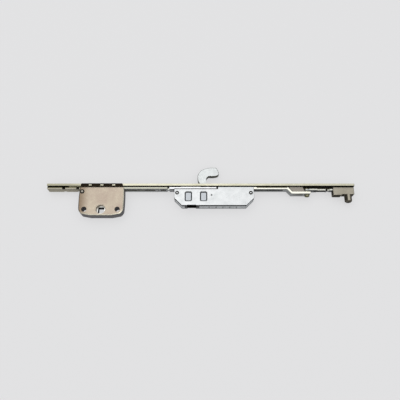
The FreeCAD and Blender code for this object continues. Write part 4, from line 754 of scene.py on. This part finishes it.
@dataclass(frozen=True)
class Trim:
    """How a piece is finished: the width of its soft edges and the coats of its faces.

    A face that looks less than the limit along the spindle is a side face, which takes the side
    material with its painted shade and light.
    A piece may take its side faces, or a gently sloped rim with a painted highlight, from another
    finish than its own.
    """

    edge: float
    sides: Sides = Sides.ROUND
    side_light_and_shade_slot: str = ""
    rim_highlight_slot: str = ""
    limit: float = SIDE_LIMIT

    def coat(self, normal: Vector) -> int:
        """Choose the coat of a face.

        Args:
            normal: Where the face looks.

        Returns:
            The coat's number in the piece's materials.
        """
        if self.rim_highlight_slot and self.limit < normal.z < RIM_LIMIT:
            return RIM_HIGHLIGHT_COAT
        if self.sides is Sides.ROUND:
            is_side = abs(normal.z) < self.limit
        else:
            is_side = self.sides is Sides.BACK and normal.y < BACK_LIMIT
        return SIDE_LIGHT_AND_SHADE_COAT if is_side else FACE_COAT


@dataclass
class Dresser:
    """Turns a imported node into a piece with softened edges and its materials."""

    palette: Palette
    segments: int = 3

    def dress(self, node: str, name: str, trim: Trim) -> None:
        """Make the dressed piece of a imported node."""
        self.finish(self.clean_mesh(node, name), node, trim)

    def finish(self, mesh: Mesh, node: str, trim: Trim) -> None:
        """Give a plain mesh its materials and soft edges, and let it stand for a node.

        Args:
            mesh: The mesh, in place; its name is the piece's name.
            node: The node that it stands for.
            trim: Its edges and coats.
        """
        slot = SLOT_OF_NODE[node]
        layers = self.palette.layers
        coats = [*layers[slot][:SIDE_LIGHT_AND_SHADE_COAT], layers[trim.side_light_and_shade_slot or slot][SIDE_LIGHT_AND_SHADE_COAT]]
        if trim.rim_highlight_slot:
            coats.append(layers[trim.rim_highlight_slot][FACE_COAT])
        piece = linked(mesh.name, mesh)
        mesh.materials.clear()
        for material in coats:
            mesh.materials.append(material)
        for face in mesh.polygons:
            face.use_smooth = True
            face.material_index = trim.coat(face.normal)
        mesh.set_sharp_from_angle(angle=SHARP_ANGLE)
        soften = piece.modifiers.new("soft_edges", "BEVEL")
        soften.width = trim.edge
        soften.segments = self.segments
        soften.limit_method = "ANGLE"
        soften.angle_limit = SHARP_ANGLE
        soften.harden_normals = True
        # The bevel faces take the edge material with its painted highlight or dark reflection.
        soften.material = EDGE_PAINTED_LIGHT_COAT
        finished(piece, BODY_OF_NODE[node], slot, node)

    def clean_mesh(self, node: str, name: str) -> Mesh:
        """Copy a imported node's mesh with its triangles merged into flat faces.

        Args:
            node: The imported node.
            name: Name of the copy.

        Returns:
            The copy.
        """
        work = bmesh.new()
        work.from_mesh(frame["nodes"][node].data)
        bmesh.ops.remove_doubles(work, verts=work.verts, dist=WELD_DISTANCE)
        bmesh.ops.dissolve_limit(work, angle_limit=FLAT_ANGLE, verts=work.verts, edges=work.edges)
        mesh = bpy.data.meshes.new(name)
        work.to_mesh(mesh)
        work.free()
        for attribute in [item.name for item in mesh.attributes if "normal" in item.name]:
            mesh.attributes.remove(mesh.attributes[attribute])
        return mesh


@dataclass(frozen=True)
class FastenerSizes:
    """Places and sizes of one or two fasteners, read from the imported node's box."""

    first: Vector
    last: Vector
    head_radius: float
    shank_radius: float
    length: float

    @property
    def count(self) -> int:
        """Two where their places lie apart, otherwise one."""
        return 2 if self.last.x - self.first.x > self.head_radius else 1


class FastenerTree:
    """A tree that makes fasteners along Z at even steps from one place to another."""

    name = "fasteners"
    extra_inputs: tuple[str, ...] = ()
    vertices = 48

    def __init__(self) -> None:
        """Make the tree with its inputs, its points and its output."""
        self.tree = bpy.data.node_groups.new(self.name, "GeometryNodeTree")
        self.pad = pad = NodePad(self.tree)
        kinds = dict.fromkeys(("First", "Last", "Turn"), "Vector") | {"Count": "Int"}
        kinds |= dict.fromkeys(("Head Radius", "Shank Radius", "Length", *self.extra_inputs),
                               "Float") | {"Material": "Material"}
        face = self.tree.interface
        face.new_socket(name="Geometry", in_out="OUTPUT", socket_type="NodeSocketGeometry")
        for name, kind in kinds.items():
            face.new_socket(name=name, in_out="INPUT", socket_type="NodeSocket" + kind)
        self.given = pad.add("NodeGroupInput")
        given = self.given.outputs
        line = pad.add("GeometryNodeMeshLine", mode="END_POINTS")
        place = pad.add("GeometryNodeInstanceOnPoints")
        turn = pad.add("FunctionNodeEulerToRotation")
        real = pad.add("GeometryNodeRealizeInstances")
        coat = pad.add("GeometryNodeSetMaterial")
        output = pad.add("NodeGroupOutput")
        pad.join(given["First"], line.inputs["Start Location"])
        pad.join(given["Last"], line.inputs["Offset"])
        pad.join(given["Count"], line.inputs["Count"])
        pad.join(line.outputs["Mesh"], place.inputs["Points"])
        pad.join(self.shape(), place.inputs["Instance"])
        pad.join(given["Turn"], turn.inputs["Euler"])
        pad.join(turn.outputs["Rotation"], place.inputs["Rotation"])
        pad.join(place.outputs["Instances"], real.inputs["Geometry"])
        pad.join(real.outputs["Geometry"], coat.inputs["Geometry"])
        pad.join(given["Material"], coat.inputs["Material"])
        pad.join(coat.outputs["Geometry"], output.inputs["Geometry"])

    def shape(self) -> Socket:
        """Nodes for one fastener, its tip at the origin and its head upwards."""
        raise NotImplementedError

    def half(self, size: Socket) -> Socket:
        """Half of a size."""
        return self.pad.maths("MULTIPLY", size, 0.5)

    def drum(self, radius: Socket, low: Socket | float, height: Socket) -> Socket:
        """Make a cylinder that stands on a level.

        Args:
            radius: Its radius.
            low: Level of its foot.
            height: Its height.

        Returns:
            Its geometry.
        """
        body = self.pad.add("GeometryNodeMeshCylinder")
        body.inputs["Vertices"].default_value = self.vertices
        self.pad.join(radius, body.inputs["Radius"])
        self.pad.join(height, body.inputs["Depth"])
        return self.raised(body.outputs["Mesh"], self.pad.maths("ADD", self.half(height), low))

    def raised(self, geometry: Socket, level: Socket) -> Socket:
        """Move geometry up to a level.

        Args:
            geometry: What is moved.
            level: How far it goes up.

        Returns:
            The moved geometry.
        """
        place = self.pad.add("ShaderNodeCombineXYZ")
        move = self.pad.add("GeometryNodeTransform")
        self.pad.join(level, place.inputs["Z"])
        self.pad.join(geometry, move.inputs["Geometry"])
        self.pad.join(place.outputs["Vector"], move.inputs["Translation"])
        return move.outputs["Geometry"]

    def union(self, *solids: Socket) -> Socket:
        """Merge solids that overlap.

        Args:
            solids: The solids.

        Returns:
            One closed solid.
        """
        node = self.pad.add("GeometryNodeMeshBoolean", operation="UNION", solver="EXACT")
        for solid in solids:
            self.pad.join(solid, node.inputs["Mesh 2"])
        return node.outputs["Mesh"]

    def make(self, name: str, sizes: FastenerSizes, turn: Vector, material: Material,
             **extra: float) -> Mesh:
        """Run the tree and keep the result as a plain mesh.

        Args:
            name: Name of the mesh.
            sizes: Places and sizes of the fasteners.
            turn: Turn that points their heads the right way.
            material: Their material.
            extra: The sizes that only this kind has, by input name with underscores.

        Returns:
            The mesh, in place.
        """
        holder = linked(name, bpy.data.meshes.new(name + "_start"))
        modifier = holder.modifiers.new("tree", "NODES")
        modifier.node_group = self.tree
        values = {"First": sizes.first, "Last": sizes.last, "Turn": turn, "Count": sizes.count,
                  "Head Radius": sizes.head_radius, "Shank Radius": sizes.shank_radius,
                  "Length": sizes.length, "Material": material}
        values.update({key.replace("_", " "): value for key, value in extra.items()})
        for item in self.tree.interface.items_tree:
            if item.in_out == "INPUT":
                modifier[item.identifier] = values[item.name]
        mesh = plain_mesh(holder, name)
        bpy.data.objects.remove(holder)
        return mesh


class RivetTree(FastenerTree):
    """Rivets with a shank, an upright rim and a domed crown."""

    name = "rivets"
    extra_inputs = ("Rim", "Head Height")
    rings = 20
    crown_share = 0.985

    def shape(self) -> Socket:
        """Make shank, rim and crown in one.

        Returns:
            The rivet.
        """
        pad = self.pad
        given = self.given.outputs
        shank_height = pad.maths("SUBTRACT", given["Length"], given["Head Height"])
        rim_top = pad.maths("ADD", shank_height, given["Rim"])
        shank = self.drum(given["Shank Radius"], 0.0, rim_top)
        rim = self.drum(given["Head Radius"], shank_height, given["Rim"])
        ball = pad.add("GeometryNodeMeshUVSphere")
        ball.inputs["Segments"].default_value = self.vertices
        ball.inputs["Rings"].default_value = self.rings
        ball.inputs["Radius"].default_value = 1.0
        width = pad.maths("MULTIPLY", given["Head Radius"], self.crown_share)
        stretch = pad.add("ShaderNodeCombineXYZ")
        squash = pad.add("GeometryNodeTransform")
        for axis in ("X", "Y"):
            pad.join(width, stretch.inputs[axis])
        pad.join(pad.maths("SUBTRACT", given["Head Height"], given["Rim"]), stretch.inputs["Z"])
        pad.join(ball.outputs["Mesh"], squash.inputs["Geometry"])
        pad.join(stretch.outputs["Vector"], squash.inputs["Scale"])
        return self.union(shank, rim, self.raised(squash.outputs["Geometry"], rim_top))


class ScrewTree(FastenerTree):
    """Countersunk screws with a cross recess."""

    name = "screws"
    extra_inputs = ("Arm", "Arm Width", "Recess Depth")

    def shape(self) -> Socket:
        """Make shank and cone in one, less the cross.

        Returns:
            The screw.
        """
        pad = self.pad
        given = self.given.outputs
        head_height = pad.maths("SUBTRACT", given["Head Radius"], given["Shank Radius"])
        neck = pad.maths("SUBTRACT", given["Length"], head_height)
        shank = self.drum(given["Shank Radius"], 0.0,
                          pad.maths("ADD", neck, self.half(head_height)))
        cone = pad.add("GeometryNodeMeshCone")
        cone.inputs["Vertices"].default_value = self.vertices
        pad.join(given["Head Radius"], cone.inputs["Radius Top"])
        pad.join(given["Shank Radius"], cone.inputs["Radius Bottom"])
        pad.join(head_height, cone.inputs["Depth"])
        carve = pad.add("GeometryNodeMeshBoolean", operation="DIFFERENCE", solver="EXACT")
        pad.join(self.union(shank, self.raised(cone.outputs["Mesh"], neck)),
                 carve.inputs["Mesh 1"])
        pad.join(self.union(self._bar("X", "Y"), self._bar("Y", "X")), carve.inputs["Mesh 2"])
        return carve.outputs["Mesh"]

    def _bar(self, along: str, across: str) -> Socket:
        """Make one bar of the cross, centred on the top of the head.

        Args:
            along: Axis that it runs along.
            across: Axis that it is narrow along.

        Returns:
            The bar.
        """
        given = self.given.outputs
        box = self.pad.add("GeometryNodeMeshCube")
        extent = self.pad.add("ShaderNodeCombineXYZ")
        self.pad.join(given["Arm"], extent.inputs[along])
        self.pad.join(given["Arm Width"], extent.inputs[across])
        self.pad.join(self.pad.maths("MULTIPLY", given["Recess Depth"], 2.0), extent.inputs["Z"])
        self.pad.join(extent.outputs["Vector"], box.inputs["Size"])
        return self.raised(box.outputs["Mesh"], given["Length"])


class Heads(Enum):
    """Where fasteners' heads look: number of that axis, of the one across it, and their turn."""

    FACE = (1, 2, (-math.pi / 2, 0.0, 0.0))
    COVER = (2, 1, (0.0, 0.0, 0.0))


@dataclass
class Fasteners:
    """Screws in the forend and rivets in the two boxes."""

    dresser: Dresser
    screw_shank: float = 1.5 * MM
    cross_arm: float = 3.4 * MM
    cross_width: float = 0.62 * MM
    cross_depth: float = 1.1 * MM
    gearbox_shank: float = 1.5 * MM
    gearbox_rim: float = 0.3 * MM
    gearbox_head: float = 1.1 * MM
    case_shank: float = 1.1 * MM
    case_rim: float = 0.2 * MM
    case_head: float = 0.75 * MM
    edge: float = 0.06 * MM

    def build(self) -> None:
        """Make every screw and rivet."""
        screws = ScrewTree()
        for node, name in (("gearbox_screws", "gearbox_screw_heads"),
                           ("hook_case_screws", "hook_case_screw_heads"),
                           ("end_block_screw", "end_block_screw_head")):
            self._row(screws, node, name, Heads.FACE, self.screw_shank, Arm=self.cross_arm,
                      Arm_Width=self.cross_width, Recess_Depth=self.cross_depth)
        rivets = RivetTree()
        self._row(rivets, "gearbox_rivet", "gearbox_rivet_head", Heads.COVER,
                  self.gearbox_shank, Rim=self.gearbox_rim, Head_Height=self.gearbox_head)
        self._row(rivets, "hook_case_rivets", "hook_case_rivet_heads", Heads.COVER,
                  self.case_shank, Rim=self.case_rim, Head_Height=self.case_head)

    def _row(self, tree: FastenerTree, node: str, name: str, heads: Heads, shank: float,
             **extra: float) -> None:
        """Make a node's fasteners, which stand in a row along the forend.

        Args:
            tree: The tree of this kind of fastener.
            node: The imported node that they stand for.
            name: The piece's name.
            heads: Where their heads look.
            shank: Radius of the shank.
            extra: The sizes that only this kind has.
        """
        along, across, turn = heads.value
        low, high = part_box(node)
        head = (high[across] - low[across]) / 2
        first, last = low.copy(), high.copy()
        first[across] = last[across] = (high[across] + low[across]) / 2
        last[along] = low[along]
        first.x += head
        last.x -= head
        sizes = FastenerSizes(first, last, head, shank, high[along] - low[along])
        material = self.dresser.palette.layers[SLOT_OF_NODE[node]][FACE_COAT]
        mesh = tree.make(name, sizes, Vector(turn), material, **extra)
        self.dresser.finish(mesh, node, Trim(self.edge, Sides.NONE))


@dataclass
class Strips:
    """The forend with what sits on it, and the flat parts that slide behind it."""

    dresser: Dresser
    forend_edge: float = 0.25 * MM
    block_edge: float = 0.3 * MM
    rod_edge: float = 0.2 * MM
    small_edge: float = 0.15 * MM
    fine_edge: float = 0.1 * MM

    def build(self) -> None:
        """Dress each strip."""
        rod_trim = Trim(self.rod_edge, Sides.BACK)
        for node, name, trim in (
                ("forend", "forend_strip", Trim(self.forend_edge, Sides.BACK)),
                ("forend_clip", "clip_channel", Trim(self.block_edge)),
                ("forend_packer", "packer_strip", Trim(self.small_edge)),
                ("drive_rod_left", "left_rod", rod_trim),
                ("hook_slide", "slide_strip", rod_trim),
                ("drive_rod_right", "right_rod", rod_trim),
                ("end_slide", "end_slide_strip", Trim(self.fine_edge, Sides.BACK)),
                ("guide_button", "button", Trim(self.fine_edge)),
                ("rod_end_stud", "stud", Trim(self.small_edge)),
                ("spacer_block", "spacer", Trim(self.block_edge)),
                ("spacer_block_rivet", "spacer_rivet", Trim(self.fine_edge))):
            self.dresser.dress(node, name, trim)


@dataclass
class Gearbox:
    """The gearbox with its cover, follower and rack."""

    dresser: Dresser
    case_edge: float = 0.35 * MM
    plate_edge: float = 0.25 * MM
    gear_edge: float = 0.15 * MM
    bore_radius: float = 6.0 * MM
    bore_depth: float = 4.5 * MM
    bore_sides: int = 64

    def build(self) -> None:
        """Dress each piece of the gearbox."""
        gear_trim = Trim(self.gear_edge)
        self.dresser.dress("gearbox_housing", "gearbox_case", Trim(self.case_edge))
        # The cover's gently sloped rim takes a bright tone: a painted highlight.
        self.dresser.dress("gearbox_cover", "gearbox_plate",
                           Trim(self.plate_edge, rim_highlight_slot="plate_rim_highlight"))
        self.dresser.finish(self._bored_follower(), "follower", gear_trim)
        self.dresser.dress("gearbox_rack", "rack_plate", gear_trim)

    def _bored_follower(self) -> Mesh:
        """Cut the round recess that the follower's square hole opens into.

        Returns:
            The follower's mesh.
        """
        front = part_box("follower")[1].z
        work = bmesh.new()
        bmesh.ops.create_cone(work, cap_ends=True, segments=self.bore_sides,
                              radius1=self.bore_radius, radius2=self.bore_radius,
                              depth=self.bore_depth * 2)
        bmesh.ops.translate(work, verts=work.verts, vec=Vector((0.0, 0.0, front)))
        drill_mesh = bpy.data.meshes.new("drill")
        work.to_mesh(drill_mesh)
        work.free()
        drill = linked("drill", drill_mesh)
        blank = linked("blank", self.dresser.clean_mesh("follower", "blank"))
        bore = blank.modifiers.new("bore", "BOOLEAN")
        bore.object = drill
        bore.operation = "DIFFERENCE"
        bore.solver = "EXACT"
        mesh = plain_mesh(blank, "follower_gear")
        for thing in (drill, blank):
            bpy.data.objects.remove(thing)
        return mesh


@dataclass
class HookCase:
    """The hook case with its hook."""

    dresser: Dresser
    box_edge: float = 0.3 * MM
    plate_edge: float = 0.25 * MM
    pin_edge: float = 0.1 * MM
    hook_edge: float = 0.55 * MM

    def build(self) -> None:
        """Dress each piece of the hook case."""
        self.dresser.dress("hook_case_housing", "hook_case_box", Trim(self.box_edge))
        self.dresser.dress("hook_case_cover", "hook_case_plate",
                           # The cover's side faces take a near-black tone: painted shade of the
                           # line under its edge.
                           Trim(self.plate_edge, side_light_and_shade_slot="cover_edge_shade"))
        self.dresser.dress("hook_pivot_pin", "hook_pin", Trim(self.pin_edge))
        self.dresser.dress("hook", "swing_hook", Trim(self.hook_edge))


@dataclass
class EndFitting:
    """The cast block at the end of the forend."""

    dresser: Dresser
    edge: float = 0.35 * MM
    side_limit: float = 0.93

    def build(self) -> None:
        """Dress the block."""
        self.dresser.dress("end_block", "end_casting", Trim(self.edge, limit=self.side_limit))


@dataclass(frozen=True)
class Panel:
    """A square light, its place counted from the camera's target."""

    name: str
    place: Triple
    size: float
    power: float


@dataclass
class Studio:
    """Pale floor, soft lights and the camera."""

    display: str = "Standard"
    target: Vector = field(default_factory=lambda: Vector((128.4, 12.88, 6.0)) * MM)
    distance: float = 650.0 * MM
    elevation: float = math.radians(70.5)
    lens: float = 45.0
    sensor: float = 36.0
    near: float = 10.0 * MM
    floor_reach: float = 4.0
    floor_tone: Colour = (0.15, 0.15, 0.152)
    floor_roughness: float = 0.9
    floor_light: Colour = (1.0, 1.0, 1.01)
    floor_glow: float = 0.58
    zenith_tone: Colour = (1.0, 1.0, 1.0)
    horizon_tone: Colour = (0.06, 0.06, 0.065)
    dark_up_to: float = 0.42
    bright_from: float = 0.70
    sky_strength: float = 1.3
    surround_tone: Colour = (0.76, 0.76, 0.77)
    panels: tuple[Panel, ...] = (Panel("key", (-0.35, 0.5, 1.6), 1.2, 4.5),
                                 Panel("fill", (0.5, -0.3, 1.6), 1.6, 2.6))

    def build(self) -> None:
        """Make the camera first, then the floor and the lights."""
        bpy.context.scene.view_settings.view_transform = self.display
        self._camera()
        self._floor()
        self._sky()
        for panel in self.panels:
            self._light(panel)

    def _aim(self, thing: Object, direction: Vector, distance: float = 1.0) -> None:
        """Point a camera or light at the target.

        Args:
            thing: The camera or light.
            direction: Where it stands, seen from the target.
            distance: How many times that far it stands.
        """
        thing.location = self.target + direction * distance
        thing.rotation_euler = (-direction).to_track_quat("-Z", "Y").to_euler()

    def _camera(self) -> None:
        """Put the camera over the covers, leaning towards the viewer's side."""
        data = bpy.data.cameras.new("camera")
        data.lens = self.lens
        data.sensor_width = self.sensor
        data.clip_start = self.near
        camera = linked("camera", data)
        back = Vector((0.0, -math.cos(self.elevation), math.sin(self.elevation)))
        self._aim(camera, back, self.distance)
        bpy.context.scene.camera = camera

    def _floor(self) -> None:
        """Lay the plain floor that the object lies on, a little lit from inside."""
        level = CAD_BOX[0].z
        reach = self.floor_reach
        mesh = bpy.data.meshes.new("floor")
        corners = [(-reach, -reach, level), (reach, -reach, level),
                   (reach, reach, level), (-reach, reach, level)]
        mesh.from_pydata(corners, [], [(0, 1, 2, 3)])
        material = bpy.data.materials.new("floor")
        material.use_nodes = True
        shader = material.node_tree.nodes["Principled BSDF"]
        shader.inputs["Base Color"].default_value = (*self.floor_tone, 1.0)
        shader.inputs["Roughness"].default_value = self.floor_roughness
        shader.inputs["Emission Color"].default_value = (*self.floor_light, 1.0)
        shader.inputs["Emission Strength"].default_value = self.floor_glow
        mesh.materials.append(material)
        floor = linked("floor", mesh)

    def _sky(self) -> None:
        """Light the scene from overhead, falling off towards a dark horizon.

        Where the lens looks past the floor, it sees a surround as pale as the floor.
        """
        world = bpy.data.worlds.new("studio")
        world.use_nodes = True
        pad = NodePad(world.node_tree)
        split = pad.add("ShaderNodeSeparateXYZ")
        background = pad.add("ShaderNodeBackground")
        background.inputs["Strength"].default_value = self.sky_strength
        surround = pad.add("ShaderNodeBackground")
        surround.inputs["Color"].default_value = (*self.surround_tone, 1.0)
        choice = pad.add("ShaderNodeMixShader")
        output = pad.add("ShaderNodeOutputWorld")
        pad.join(pad.add("ShaderNodeTexCoord").outputs["Generated"], split.inputs["Vector"])
        pad.join(pad.ramp(split.outputs["Z"], (self.dark_up_to, self.horizon_tone),
                          (self.bright_from, self.zenith_tone)), background.inputs["Color"])
        pad.join(pad.add("ShaderNodeLightPath").outputs["Is Camera Ray"], choice.inputs["Fac"])
        pad.join(background.outputs["Background"], choice.inputs[1])
        pad.join(surround.outputs["Background"], choice.inputs[2])
        pad.join(choice.outputs["Shader"], output.inputs["Surface"])
        bpy.context.scene.world = world

    def _light(self, panel: Panel) -> None:
        """Hang up a square light that points at the target.

        Args:
            panel: Its name, place, size and power.
        """
        data = bpy.data.lights.new(panel.name, "AREA")
        data.size = panel.size
        data.energy = panel.power
        self._aim(linked(panel.name, data), Vector(panel.place))


def main() -> None:
    """Build the studio and dress every sub-assembly."""
    logging.basicConfig(level=logging.INFO)
    Studio().build()
    dresser = Dresser(Palette())
    for assembly in (Strips(dresser), Gearbox(dresser), HookCase(dresser), EndFitting(dresser),
                     Fasteners(dresser)):
        assembly.build()
        log.info("%s done", type(assembly).__name__)


if __name__ == "__main__":
    main()
